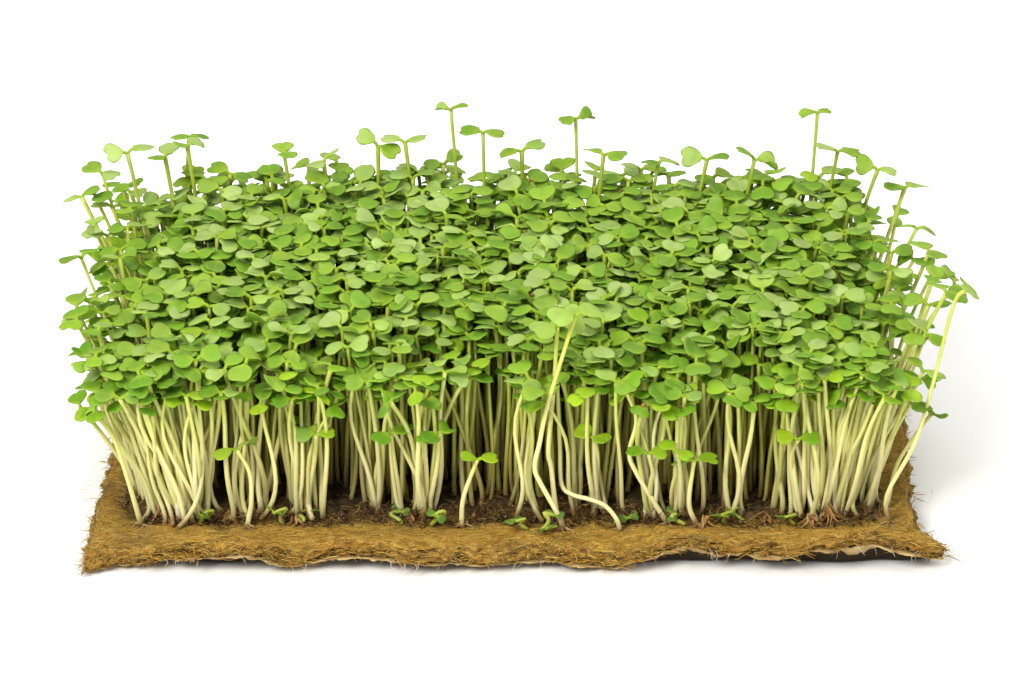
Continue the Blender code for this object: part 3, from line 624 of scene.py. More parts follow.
def build_fibres(felt):
    rng = np.random.default_rng(41)
    top = felt["top"]
    # lying on the bare margins
    n = 4400
    flat = top.reshape(-1, 3)
    v, u = felt["v"].ravel(), felt["u"].ravel()
    weight = fade(v * MAT_D, 21) * 1.0 + fade((1 - u) * MAT_W, 20) * 0.7 + fade(u * MAT_W, 12) * 0.6 + fade((1 - v) * MAT_D, 5) * 0.5 + 0.01
    area = np.where(v < 0.165, 0.45, 1.0)
    pick = rng.choice(len(flat), n, p=weight * area / (weight * area).sum())
    start = flat[pick] + np.c_[rng.normal(0, 0.3, (n, 2)), rng.uniform(-0.12, 0.12, n)]
    heading = np.where(rng.random(n) < 0.5, rng.normal(0, 0.5, n), rng.uniform(0, 2 * PI, n)) + PI * (rng.random(n) < 0.5)
    length = rng.uniform(1.8, 7.5, n)
    steps = 6
    paths = wander(rng, start, heading, length, steps, 0.26, 0.35)
    gx, gy = paths[..., 0], paths[..., 1]
    uu, vv = mat_share(gx, gy)
    px, py = mat_plan(uu, vv)
    inside = np.hypot(px - gx, py - gy) < 0.5
    stays = inside.all(1) | (rng.random(n) < 0.04)
    ground = mat_lift(uu, vv) + mat_thickness(uu, vv) + fractal(gx, gy, 9, 3, 1) * 0.5 + fractal(gx, gy, 2.2, 3, 7) * 0.42
    hug = ground + rng.uniform(-0.05, 0.12, (n, 1)) + np.sin(np.linspace(0, PI, steps)) * rng.uniform(-0.15, 0.22, (n, 1))
    paths[..., 2] = np.where(inside, hug, paths[..., 2])
    width = rng.uniform(0.035, 0.09, n)
    radii = width[:, None] * np.array([0.5, 0.9, 1, 1, 0.85, 0.35])
    build = Build()
    build.tubes(paths[stays], radii[stays], 4, fibre_tints(rng, n, steps)[stays])
    build.object("mat_surface_fibres", [FIBRE])

    # in the torn edges: most run along the edge, and some stand out of it
    t, b, out, run = felt["loop_top"], felt["loop_low"], felt["out"], felt["run"]
    m = len(t)
    tangent = np.stack([-out[:, 1], out[:, 0]], -1)
    share = np.where(b[:, 1] < -56, 2.1, 1.0)
    share = share / share.sum()
    n = 5200
    pick = rng.choice(m, n, p=share)
    s = rng.beta(1.2, 1.2, n)
    p = b[pick] + (t[pick] - b[pick]) * s[:, None]
    p[:, :2] += out[pick] * (rng.uniform(-0.1, 1.15, n) * np.sin(PI * np.clip(s + 0.1, 0, 1)) ** 0.4)[:, None]
    along = np.arctan2(tangent[pick, 1], tangent[pick, 0])
    outward = np.arctan2(out[pick, 1], out[pick, 0])
    stand = rng.random(n) < np.where(b[pick, 1] < -56, 0.06, 0.02)
    heading = np.where(stand, outward + rng.normal(0, 0.8, n), along + rng.normal(0, 0.24, n) + PI * (rng.random(n) < 0.5))
    length = np.where(stand, rng.uniform(0.5, 1.7, n), rng.uniform(1.5, 6.0, n))
    steps = 6
    paths = wander(rng, p, heading, length, steps, 0.20, 0.4)
    low_z = b[pick, 2][:, None]
    high_z = t[pick, 2][:, None]
    paths[..., 2] = np.clip(paths[..., 2], np.maximum(0.12, low_z - 0.15), high_z + 0.3)
    width = rng.uniform(0.05, 0.14, n)
    radii = width[:, None] * np.array([0.6, 1, 1, 1, 0.8, 0.35])
    build = Build()
    half = n // 2
    tint = fibre_tints(rng, n, steps)
    tint[rng.random(n) < 0.25] *= 0.45
    build.tubes(paths[:half], radii[:half], 4, tint[:half])
    build.object("mat_edge_fibres_a", [FIBRE])
    build = Build()
    build.tubes(paths[half:], radii[half:], 4, tint[half:])
    build.object("mat_edge_fibres_b", [FIBRE])

    # long stray hairs at the corners, and pale rootlets that hang from the front edge
    build = Build()
    n = 46
    corner = np.array([(-124.5, -62, 3), (127, -61, 8), (112, -62, 11), (-121, -20, 6), (117, -20, 7), (118, 20, 7), (-60, -64, 4), (20, -64, 4), (60, -63, 8), (121, 60, 6), (-122, 60, 6)])
    at = corner[rng.integers(0, len(corner), n)] + rng.normal(0, 1.0, (n, 3)) * (4, 2.0, 0.9)
    uu, vv = mat_share(at[:, 0], at[:, 1])
    at[:, 2] = mat_lift(uu, vv) + mat_thickness(uu, vv) * rng.uniform(0.2, 0.9, n)
    away = np.arctan2(at[:, 1] * 0.9, at[:, 0]) + rng.normal(0, 0.7, n)
    paths = wander(rng, at, away, rng.uniform(2, 6, n), 8, 0.25, 0.4)
    paths[..., 2] = np.clip(paths[..., 2], 0.2, None)
    radii = rng.uniform(0.04, 0.08, n)[:, None] * np.linspace(1, 0.35, 8)
    build.tubes(paths, radii, 4, fibre_tints(rng, n, 8))
    build.object("mat_stray_hairs", [FIBRE])
    build = Build()
    n = 46
    x = np.concatenate([rng.uniform(-90, 120, n // 2), rng.choice([-100, -92, -34, -31, -10, 7, 58], n - n // 2) + rng.normal(0, 2.4, n - n // 2)])
    order = np.argsort(np.abs(b[:, 0][None] - x[:, None]) + 200 * (b[:, 1] > -50)[None], axis=1)[:, 0]
    at = b[order].copy()
    at[:, 1] -= 0.2
    at[:, 2] += 0.5
    k = np.linspace(0, 1, 8)
    drop = np.minimum(rng.uniform(1.2, 4.2, n), at[:, 2] - 0.35)
    paths = np.stack([
        at[:, :1] + np.sin(k * rng.uniform(2, 5, (n, 1)) + rng.uniform(0, 6, (n, 1))) * rng.uniform(0.2, 0.9, (n, 1)) + k * rng.normal(0, 1.6, (n, 1)),
        at[:, 1:2] - k * rng.uniform(0.2, 1.8, (n, 1)) - 0.25 * np.sin(k * PI),
        at[:, 2:3] - k**1.3 * np.clip(drop, 0.2, None)[:, None],
    ], -1)
    radii = rng.uniform(0.07, 0.14, n)[:, None] * np.linspace(1, 0.45, 8)
    white = np.array([srgb(226, 214, 186), srgb(210, 190, 150), srgb(232, 224, 206)])
    build.tubes(paths, radii, 5, fibre_tints(rng, n, 8, white))
    build.object("hanging_rootlets", [ROOTLET])


def build_skin(felt):
    """The pale thin skin under the felt, which shows as a wavy lip along the torn front edge."""
    x = np.linspace(-123.5, 125.5, 420)
    u, _ = mat_share(x, 0 * x - 60)
    px, py = mat_plan(u, 0 * u)
    reach = -0.2 + 1.1 * noise(x, 0 * x, 8, 31) + 0.6 * noise(x, 0 * x, 2.2, 33) + 0.35 * noise(x, 0 * x, 0.8, 35)
    py = py - 0.8 - np.clip(reach * 1.3 - 0.2, -1.4, 1.5)
    rows, tints = [], []
    inner = 2.6
    for k, s in enumerate(np.linspace(0, 1, 7)):
        y = py + inner * (1 - s)
        _, v = mat_share(x, y)
        z = mat_under(u, np.clip(v, 0, 1)) - 0.05 - 0.35 * s**3 * (0.5 + 0.5 * noise(x, 0 * x, 5, 37)) + 0.2 * s * noise(x, 0 * x, 1.7, 39)
        rows.append(np.stack([x, y, np.maximum(z, 0.34)], -1))
        c = mix(srgb(150, 116, 62), srgb(206, 180, 124), np.clip(0.5 + 0.6 * noise(x, 0 * x + k, 3, 41), 0, 1)[:, None])
        tints.append(c)
    grid = np.stack(rows)  # (7, n, 3) from inside to the lip
    tints = np.stack(tints)
    thick = 0.16
    ring = []
    low = grid.copy()
    low[..., 2] -= thick
    high = grid.copy()
    high[..., 2] += thick
    # one closed body: rings run along x, each around the sheet's cross-section, lip at the front
    ring = np.concatenate([low.transpose(1, 0, 2)[:, ::-1], high.transpose(1, 0, 2)], 1)[None]
    tint = np.concatenate([tints.transpose(1, 0, 2)[:, ::-1], tints.transpose(1, 0, 2)], 1)[None]
    ring, tint = ring[:, :, ::-1], tint[:, :, ::-1]
    build = Build()
    build.rings(ring, tint, ring[:, 0].mean(1), ring[:, -1].mean(1))
    build.object("mat_backing_skin", [SKIN])


# ------------------------------------------------------------------ the stand of seedlings

def arc(t, start, turn):
    """Share of length gone outward and upward at t along a line that turns evenly from start by turn."""
    return (np.sin(start + turn * t) - np.sin(start)) / turn, (np.cos(start) - np.cos(start + turn * t)) / turn


def leaves(build, node, up, outward, p, rng, fine=0, slot=1):
    """Cotyledons, F at a time: a short stalk and a round blade, notched at its tip. node (F,3), up (F,3), outward (F,3)
    unit and square to up. p: arrays (F,): length, half, petiole, rise0, rise1, rise2 (radians above the plane square
    to up), roll, fold, notch, skew, fat, wave, phase, tint (F,3), under (F,3)."""
    f = len(node)
    ncol = 9 if not fine else 15
    line = np.linspace(-1, 1, ncol)
    b = 0.75 * line + 0.25 * np.sin(PI / 2 * line)
    nblade = 9 if not fine else 15
    a = np.linspace(0, 1, nblade)
    q = 0.55 * (2 * a - 1) - 0.45 * np.cos(PI * a)
    # the square grid of rows and columns becomes a disc
    disc_x = q[:, None] * np.sqrt(1 - b[None] ** 2 / 2)
    disc_y = b[None] * np.sqrt(1 - q[:, None] ** 2 / 2)
    stalk = np.array([0, 0.45, 0.88])
    ns = len(stalk)
    n = ns + nblade
    col = lambda name: p[name][:, None, None]
    x = np.broadcast_to(disc_x, (f, nblade, ncol))
    y = np.broadcast_to(disc_y, (f, nblade, ncol)) * (1 + 0.07 * x)
    x = x - col("notch") * np.exp(-((y / 0.24) ** 2)) * np.clip((x + 0.3) / 1.3, 0, 1) ** 2
    x = x + col("skew") * y * np.clip(x + 0.5, 0, 1)
    x = x + col("ripple") * 0.05 * np.sin(np.arctan2(y, x) * 5 + col("phase")) * (x * x + y * y)
    t = (x + 1) / 2
    r0, r1, r2 = col("rise0"), col("rise1"), col("rise2")
    stalk_t = np.broadcast_to(stalk[None, :, None], (f, ns, ncol))
    sx, sz = arc(stalk_t, r0, r1 - r0)
    ex, ez = arc(1.0, r0, r1 - r0)
    bx, bz = arc(t, r1, r2 - r1)
    ox = np.concatenate([col("petiole") * sx, col("petiole") * ex + col("length") * bx], 1)
    oz = np.concatenate([col("petiole") * sz, col("petiole") * ez + col("length") * bz], 1)
    rise = np.concatenate([r0 + (r1 - r0) * stalk_t, r1 + (r2 - r1) * t], 1)
    across = np.concatenate([np.broadcast_to(b, (f, ns, ncol)) * np.array([0.62, 0.5, 0.56])[None, :, None], y * col("half")], 1)
    roll = col("roll") * np.concatenate([stalk_t * 0.3, 0.3 + 0.7 * t], 1)
    outer, higher = outward[:, None, None], up[:, None, None]
    cr, sr = np.cos(rise)[..., None], np.sin(rise)[..., None]
    d, nrm = cr * outer + sr * higher, -sr * outer + cr * higher
    side = np.cross(d, nrm)
    co_, si_ = np.cos(roll)[..., None], np.sin(roll)[..., None]
    side, nrm = co_ * side + si_ * nrm, co_ * nrm - si_ * side
    blade = np.concatenate([np.zeros((f, ns, ncol)), np.clip(t * 3, 0, 1)], 1)
    yy = np.concatenate([np.zeros((f, ns, ncol)), y], 1)
    tt_ = np.concatenate([np.zeros((f, ns, ncol)), t], 1)
    lift = blade * (
        col("fold") * np.abs(yy) ** 1.6 * col("half")
        + col("wave") * np.sin(yy * 2.6 + tt_ * 3.0 + col("phase"))
        - 0.20 * np.exp(-((yy / 0.15) ** 2)) * (1 - 0.5 * tt_)
    )
    lens = np.sqrt(np.clip(1 - line * line, 0, 1)) ** 0.7
    thick = np.concatenate([np.full((f, ns), 0.9), mix(0.62, 0.36, np.clip(a * 3, 0, 1))[None] * p["fat"][:, None] * np.where(a > 0.99, 0.5, 1.0)[None]], 1)
    half = thick[..., None] * lens / 2
    middle = node[:, None, None] + ox[..., None] * outer + oz[..., None] * higher + across[..., None] * side
    top = middle + (lift + half)[..., None] * nrm
    low = middle + (lift - half)[..., None] * nrm
    ring = np.concatenate([top, low[:, :, 1:-1][:, :, ::-1]], 2)
    share = np.concatenate([stalk_t * 0.45, 0.45 + np.clip(t * 1.6, 0, 0.55)], 1)[..., None]
    rim = np.concatenate([np.zeros((f, ns, ncol)), np.clip(np.hypot(disc_x, disc_y) ** 10, 0, 1)[None] * np.ones((f, 1, 1))], 1)[..., None]
    stalk_tint = srgb(168, 194, 44)
    upper = mix(stalk_tint, p["tint"][:, None, None], share)
    upper = mix(upper, srgb(186, 212, 84), 0.28 * rim)
    lower = mix(stalk_tint, p["under"][:, None, None], share)
    tint = np.concatenate([upper, lower[:, :, 1:-1][:, :, ::-1]], 2)
    co = np.stack([tt_, np.where(blade > 0, yy, 0.9), np.ones_like(tt_)], -1)
    under_co = co[:, :, 1:-1][:, :, ::-1].copy()
    under_co[..., 2] = 0
    bring = np.concatenate([line, line[1:-1][::-1]])
    start = node - d[:, 0, ncol // 2] * 0.3
    tip = (top[:, -1, ncol // 2] + low[:, -1, ncol // 2]) / 2
    tip = tip + 0.02 * d[:, -1, ncol // 2]
    build.rings(ring, tint, start, tip, slot=slot, fronts=ncol - 1, widths=(bring + 1) / 2, extra=np.concatenate([co, under_co], 2))


STEM_T = np.array([0, 0.015, 0.035, 0.065, 0.11, 0.17, 0.25, 0.34, 0.45, 0.56, 0.67, 0.78, 0.88, 0.95, 1.0])


def stem_tints(rng, n, steps_z, tone_and_shade, low_pale):
    """Cream at the foot to yellow green at the node, turning darker and olive as the tone rises; the tone is partly
    random and partly painted shade on the stems inside the stand. steps_z: share of height (n, k).
    """
    k = steps_z[..., None]
    foot = mix(srgb(250, 243, 188), srgb(150, 130, 62), tone_and_shade[:, None, None])
    middle = mix(srgb(250, 244, 166), srgb(176, 174, 66), tone_and_shade[:, None, None])
    top = mix(srgb(210, 218, 88), srgb(160, 184, 42), tone_and_shade[:, None, None])
    c = mix(foot, middle, np.clip(k * 1.9, 0, 1))
    c = mix(c, top, np.clip((k - 0.42) * 1.9, 0, 1))
    # some stems are whiter and some greener than their neighbours
    white, green = (rng.random((2, n, 1, 1)) < np.array([0.32, 0.28]).reshape(2, 1, 1, 1)) * rng.uniform(0.2, 0.75, (2, n, 1, 1))
    c = mix(c, srgb(250, 247, 224), white * (1 - tone_and_shade[:, None, None]) * np.clip(1.2 - 1.2 * k, 0, 1))
    c = mix(c, srgb(186, 196, 84), 0.7 * green)
    root = srgb(138, 104, 52)
    return mix(root, c, np.clip(k * 13 - 0.35 + 0.8 * low_pale[:, None, None], 0, 1))


def leaf_set(rng, n, size, light):
    """Random shape and colour settings for n cotyledons. light: 0 shaded and low, 1 at the top of the stand."""
    rise1 = rng.normal(0.20, 0.16, n)
    odd = rng.random(n)
    roll = rng.normal(0, 0.17, n)
    roll = np.where(odd < 0.05, rng.choice([-1, 1], n) * rng.uniform(0.6, 1.1, n), roll)
    fold = rng.normal(-0.05, 0.11, n)
    fold = np.where((odd > 0.05) & (odd < 0.10), rng.uniform(0.3, 0.7, n), fold)
    # the top leaves take pale greys, partly their own waxy bloom and partly painted sheen; the low leaves take vivid
    # yellow greens as painted light shining through them and dark greens as painted shade
    top_sheen_greys = np.array([srgb(138, 174, 56), srgb(160, 190, 108), srgb(120, 164, 42), srgb(170, 196, 124), srgb(108, 154, 36)])
    low_shade_greens = np.array([srgb(142, 184, 16), srgb(164, 200, 24), srgb(112, 164, 12), srgb(90, 142, 12)])
    grey, bright = top_sheen_greys[rng.integers(0, 5, n)], low_shade_greens[rng.integers(0, 4, n)]
    tint = mix(bright, grey, np.clip(light + rng.normal(0, 0.22, n), 0, 1)[:, None])
    tint = tint * rng.uniform(0.86, 1.2, (n, 1)) * (1.08, 1.03, 0.85)
    under = mix(tint, srgb(158, 192, 62), 0.45)
    return {
        "length": 6.1 * size * rng.uniform(0.9, 1.1, n), "half": 3.85 * size * rng.uniform(0.9, 1.1, n),
        "petiole": rng.uniform(1.3, 2.6, n) * size, "rise0": rng.uniform(0.85, 1.25, n), "rise1": rise1,
        "rise2": rise1 - rng.uniform(0.15, 0.7, n), "roll": roll, "fold": fold, "notch": rng.uniform(0.13, 0.40, n),
        "skew": rng.normal(0, 0.05, n), "fat": rng.uniform(0.85, 1.15, n), "wave": rng.normal(0, 0.13, n), "phase": rng.uniform(0, 6.3, n),
        "ripple": rng.normal(0, 0.5, n), "tint": tint, "under": under,
    }


def lay_out(rng):
    """Feet and tips of the whole stand, in design millimetres."""
    step = 3.72
    xs, ys = np.arange(-116.5, 109, step), np.arange(-47, 61.5, step * 0.88)
    gx, gy = np.meshgrid(xs, ys)
    gx = gx + (np.arange(len(ys)) % 2)[:, None] * step / 2
    foot = np.stack([gx.ravel(), gy.ravel()], -1) + rng.uniform(-1.5, 1.5, (gx.size, 2))
    front = -43.4 + 2.6 * noise(foot[:, 0], 0 * foot[:, 0], 15, 2) + 1.2 * noise(foot[:, 0], 0 * foot[:, 0], 5, 3)
    left = -113.5 + 2.0 * noise(foot[:, 1], 0 * foot[:, 1], 14, 4) + np.clip((-30 - foot[:, 1]) * 0.55, 0, 12)
    right = 107.5 + 2.0 * noise(foot[:, 1], 0 * foot[:, 1], 12, 5) - np.clip((-34 - foot[:, 1]) * 0.15, 0, 6)
    rear = 59.5 + 1.2 * noise(foot[:, 0], 0 * foot[:, 0], 13, 6)
    x, y = foot.T
    keep = (y > front) & (x > left) & (x < right) & (y < rear)
    # thin spots show as dark gaps between clumps near the front
    gap = (noise(x, y, 8, 12) < -0.34) & (y < front + 15)
    keep &= ~gap
    foot, front, left, right, rear = foot[keep], front[keep], left[keep], right[keep], rear[keep]
    # more stems crowd the front rows in bundles
    n_more = 150
    bx = rng.uniform(-100, 105, n_more)
    by = -43.2 + 2.6 * noise(bx, 0 * bx, 15, 2) + rng.uniform(0.3, 9, n_more)
    ok = noise(bx, by, 8, 12) > -0.35
    foot = np.concatenate([foot, np.stack([bx, by], -1)[ok]])
    n = len(foot)
    x, y = foot.T
    front = -43.4 + 2.6 * noise(x, 0 * x, 15, 2)
    from_front = y - front
    # front stems spring from shared feet
    knots = np.arange(-106, 110, 8.2)
    knots = knots + rng.uniform(-2.2, 2.2, len(knots))
    home = knots[np.argmin(np.abs(knots[None] - x[:, None]), 1)]
    root = foot.copy()
    root[:, 0] += fade(from_front, 13) * rng.uniform(0.25, 0.85, n) * (home - x)
    for cx, cy, reach in ((-97.0, -41.5, 19.0), (95.0, -38.5, 17.0)):
        pull = fade(np.hypot(x - cx, y - cy), reach) * rng.uniform(0.3, 0.75, n)
        root += pull[:, None] * (np.array([cx, cy]) - root)
    f_front, f_left = fade(from_front, 16), fade(x + 114, 26)
    f_right, f_rear = fade(108 - x, 24), fade(59 - y, 16)
    crown = 60.5 + 14.5 * np.clip((y + 46) / 105, 0, 1) ** 0.9 + 2.4 * fractal(x, y, 38, 2, 3) + 1.4 * noise(x, y, 13, 8)
    crown += 3 * fade(np.hypot(x - 60, y - 10), 40)
    sink = np.abs(rng.normal(0, 5.6, n)) + (rng.random(n) < 0.22) * rng.uniform(4, 17, n)
    sink += f_front**2 * rng.uniform(0, 17, n) + fade(from_front, 5) * rng.uniform(-3, 8, n)
    sink += f_rear**2 * rng.uniform(0, 15, n) * (rng.random(n) < 0.6)
    sink += (f_left**2 * rng.uniform(0, 20, n) + f_right**2 * rng.uniform(0, 16, n)) * (1 - 0.4 * f_front)
    clump = np.maximum(fade(np.hypot(x + 97, y + 41.5), 19), fade(np.hypot(x - 95, y + 38.5), 17))
    height = crown - sink * (1 - 0.75 * clump) - 3.0 * clump
    tip = foot.copy()
    tip[:, 0] += -13.0 * f_left * rng.uniform(0.35, 1.0, n) + 9.5 * f_right * rng.uniform(0.2, 1.0, n) + rng.normal(0, 2.3, n)
    tip[:, 1] += -10.0 * f_front * rng.uniform(0.15, 1.0, n) + 4.0 * f_rear * rng.uniform(0, 1, n) + rng.normal(0, 2.2, n)
    crossing = (from_front < 9) & (rng.random(n) < 0.30)
    tip[:, 0] += crossing * rng.normal(0, 6.0, n)
    raised = (height < 47) & (from_front < 14) & (rng.random(n) < 0.8)
    height = np.where(raised, 47 + rng.uniform(0, 7, n), height)
    tip = np.c_[tip, np.clip(height, 24, 84)]
    # two crowded bundles at the front corners
    for cx, cy, m, lean in ((-97.0, -43.0, 34, -6.0), (92.0, -40.5, 26, 4.0)):
        add = np.stack([cx + np.clip(rng.normal(0, 5.5, m), -9, 9), np.clip(cy + rng.normal(0, 2.2, m), -47, -36)], -1)
        root = np.concatenate([root, add])
        spread = (add[:, 0] - cx) * 0.9 + lean + np.clip(rng.normal(0, 2.5, m), -4, 4)
        tip = np.concatenate([tip, np.c_[add[:, 0] + spread, add[:, 1] - rng.uniform(0, 6, m), rng.uniform(48, 60, m)]])
    # the extra tall ones at the back and sides, and strays that reach out
    extra = np.array([
        (-8.9, 46, 92), (-32.8, 49, 87.5), (-41.1, 49, 86), (-99.3, 46, 87.5), (-117.5, 44, 86), (-106, 44, 84.5), (28, 47, 84),
        (60, 48, 82), (74, 46, 83), (100, 50, 84), (112, 45, 80), (120.6, 45, 74), (124.7, 6, 70.5), (131.5, -4, 64), (-131.4, 38, 74),
        (-125.2, 42, 80), (-128, 12, 66), (-127, -20, 60), (123, 28, 68), (3, 50, 84), (45, 50, 80), (-70, 50, 83), (-58, 51, 80),
        (118, -30, 60), (122, -22, 66), (119, -38, 52), (124, -12, 70), (117, -10, 58), (126, -30, 74), (121, 14, 64), (119, 22, 55),
        (116, -42, 44), (121, -4, 50), (-124, 0, 58), (-122, -32, 52), (-126, 26, 70), (-121, -42, 44), (-119, -26, 46), (-124, -10, 50),
    ], float)
    near = extra.copy()
    near[:, 0] = np.clip(extra[:, 0] * 0.92, -112, 106) + rng.normal(0, 2, len(extra))
    near[:, 1] = np.clip(extra[:, 1], -40, 57)
    root = np.concatenate([root, near[:, :2]])
    tip = np.concatenate([tip, extra])
    return root, tip


def paths_of(rng, foot, tip, wild):
    """Stem centre lines (n, k, 3)."""
    n = len(foot)
    t = STEM_T[None]
    base_z = 6.4 + rng.uniform(0, 1.2, n)
    lean = t**1.35
    hook = np.clip(rng.normal(0, 1.0, (n, 2)), -1.8, 1.8) * (0.8 + 1.7 * wild[:, None]) * (rng.random((n, 1)) < 0.75)
    tall = np.clip((tip[:, 2:3] - 8) / 55, 0.15, 1)
    bow1 = np.clip(rng.normal(0, 1.0, (n, 2)), -1.9, 1.9) * (0.9 + 1.5 * wild[:, None]) * tall
    bow2 = np.clip(rng.normal(0, 1.0, (n, 2)), -1.7, 1.7) * (0.5 + 0.9 * wild[:, None]) * tall
    xy = foot[:, None] + (tip[:, None, :2] - foot[:, None]) * lean[..., None]
    xy = xy + hook[:, None] * np.exp(-t / 0.07)[..., None] - hook[:, None] * 0
    xy = xy + bow1[:, None] * np.sin(PI * t)[..., None] + bow2[:, None] * np.sin(2 * PI * t)[..., None]
    z = base_z[:, None] + (tip[:, 2] - base_z)[:, None] * t
    return np.concatenate([xy, z[..., None]], -1)


def settle(foot, tip, rng):
    """Spreads the leaf pairs so that they lie over and beside each other instead of through each other, and turns each pair clear of the stems."""
    n = len(tip)
    azimuth = rng.uniform(0, PI, n)
    for _ in range(14):
        off = 4.7 * np.stack([np.cos(azimuth), np.sin(azimuth)], -1)
        c = np.concatenate([np.c_[tip[:, :2] + off, tip[:, 2]], np.c_[tip[:, :2] - off, tip[:, 2]]]).astype(np.float32)
        move = np.zeros((2 * n, 3), np.float32)
        for lo in range(0, 2 * n, 600):
            dx = c[lo : lo + 600, None] - c[None]
            dz = dx[..., 2]
            d = np.hypot(dx[..., 0], dx[..., 1])
            hit = (d < 6.6) & (np.abs(dz) < 1.5)
            rows = np.arange(lo, min(lo + 600, 2 * n))
            hit[np.arange(len(rows)), rows] = False
            hit[np.arange(len(rows)), (rows + n) % (2 * n)] = False
            w = hit * (1 - d / 6.6)
            sign = np.where(dz >= 0, 1.0, -1.0)
            move[rows, 2] = (w * sign * (1.5 - np.abs(dz))).sum(1) * 0.45
            away = dx[..., :2] / np.maximum(d, 0.3)[..., None]
            move[rows, :2] = (away * (w * 0.5)[..., None]).sum(1)
        both = (move[:n] + move[n:]) / 2
        tip = tip + np.clip(both, -0.9, 0.9)
    # choose the heading that meets the fewest stems
    wild = np.clip(fade(foot[:, 1] + 46, 10), 0, 1)
    paths = paths_of(rng, foot, tip, wild)
    levels = np.arange(20, 100, 1.0)
    table_xy = np.empty((n, len(levels), 2), np.float32)
    for i in range(n):
        for k in (0, 1):
            table_xy[i, :, k] = np.interp(levels, paths[i, :, 2], paths[i, :, k])
    level = np.clip(np.round(tip[:, 2] + 1.5 - 20).astype(int), 0, len(levels) - 1)
    above = (tip[None, :, 2] > tip[:, None, 2] + 1.0)
    np.fill_diagonal(above, False)
    best, cost = azimuth.copy(), np.full(n, 1e9)
    at = table_xy[:, level]  # (stem, seedling, 2)
    at = at.transpose(1, 0, 2)
    for k in range(12):
        a = azimuth + k * PI / 12
        off = np.stack([np.cos(a), np.sin(a)], -1) * 4.8
        total = np.zeros(n)
        for sign in (1, -1):
            c = tip[:, :2] + sign * off
            d = np.hypot(c[:, None, 0] - at[..., 0], c[:, None, 1] - at[..., 1])
            total += (np.clip(3.9 - d, 0, None) * above).sum(1)
        better = total < cost
        best[better], cost[better] = a[better], total[better]
    return tip, best, paths


def cell_of(foot):
    c = np.clip(((foot[:, 0] - STAND_X[0]) / (STAND_X[1] - STAND_X[0]) * COLS).astype(int), 0, COLS - 1)
    r = np.clip(((foot[:, 1] - STAND_Y[0]) / (STAND_Y[1] - STAND_Y[0]) * ROWS).astype(int), 0, ROWS - 1)
    return r, c


def grow(build, rng, paths, azimuth, size, tone_and_shade, light, fine=0, radius=None, settings=None):
    """Stems and cotyledon pairs along given stem lines."""
    n, k, _ = paths.shape
    share = (paths[..., 2] - 6.0) / np.maximum(paths[:, -1:, 2] - 6.0, 1)
    full = np.clip((paths[..., 2] - 6.0) / 62.0, 0, 1) * 0.5 + share * 0.5
    if radius is None:
        radius = rng.uniform(0.62, 0.80, n)
    profile = mix(1.06, 0.80, np.clip(share * 1.2, 0, 1)) + 0.16 * np.clip((share - 0.93) / 0.07, 0, 1)
    profile = profile * (1 + 0.25 * np.exp(-share / 0.02))
    build.tubes(paths, radius[:, None] * profile, 7 if not fine else 10, stem_tints(rng, n, full, tone_and_shade, rng.uniform(-0.4, 0.6, n)), slot=0)
    tan = unit(paths[:, -1] - paths[:, -3])
    up = unit(tan * 0.5 + np.array([0, 0, 0.5]) + rng.normal(0, 0.10, (n, 3)))
    for which, sign in ((0, 1), (1, -1)):
        a = azimuth + rng.normal(0, 0.12, n) + (0 if sign > 0 else PI)
        o = np.stack([np.cos(a), np.sin(a), 0 * a], -1)
        o = unit(o - (o * up).sum(-1, keepdims=True) * up)
        s = size * (1.0 if which == 0 else rng.uniform(0.84, 0.98, n))
        p = leaf_set(rng, n, s, light)
        if settings is not None:
            p.update(settings[which])
        leaves(build, paths[:, -1] - up * 0.25, up, o, p, rng, fine)


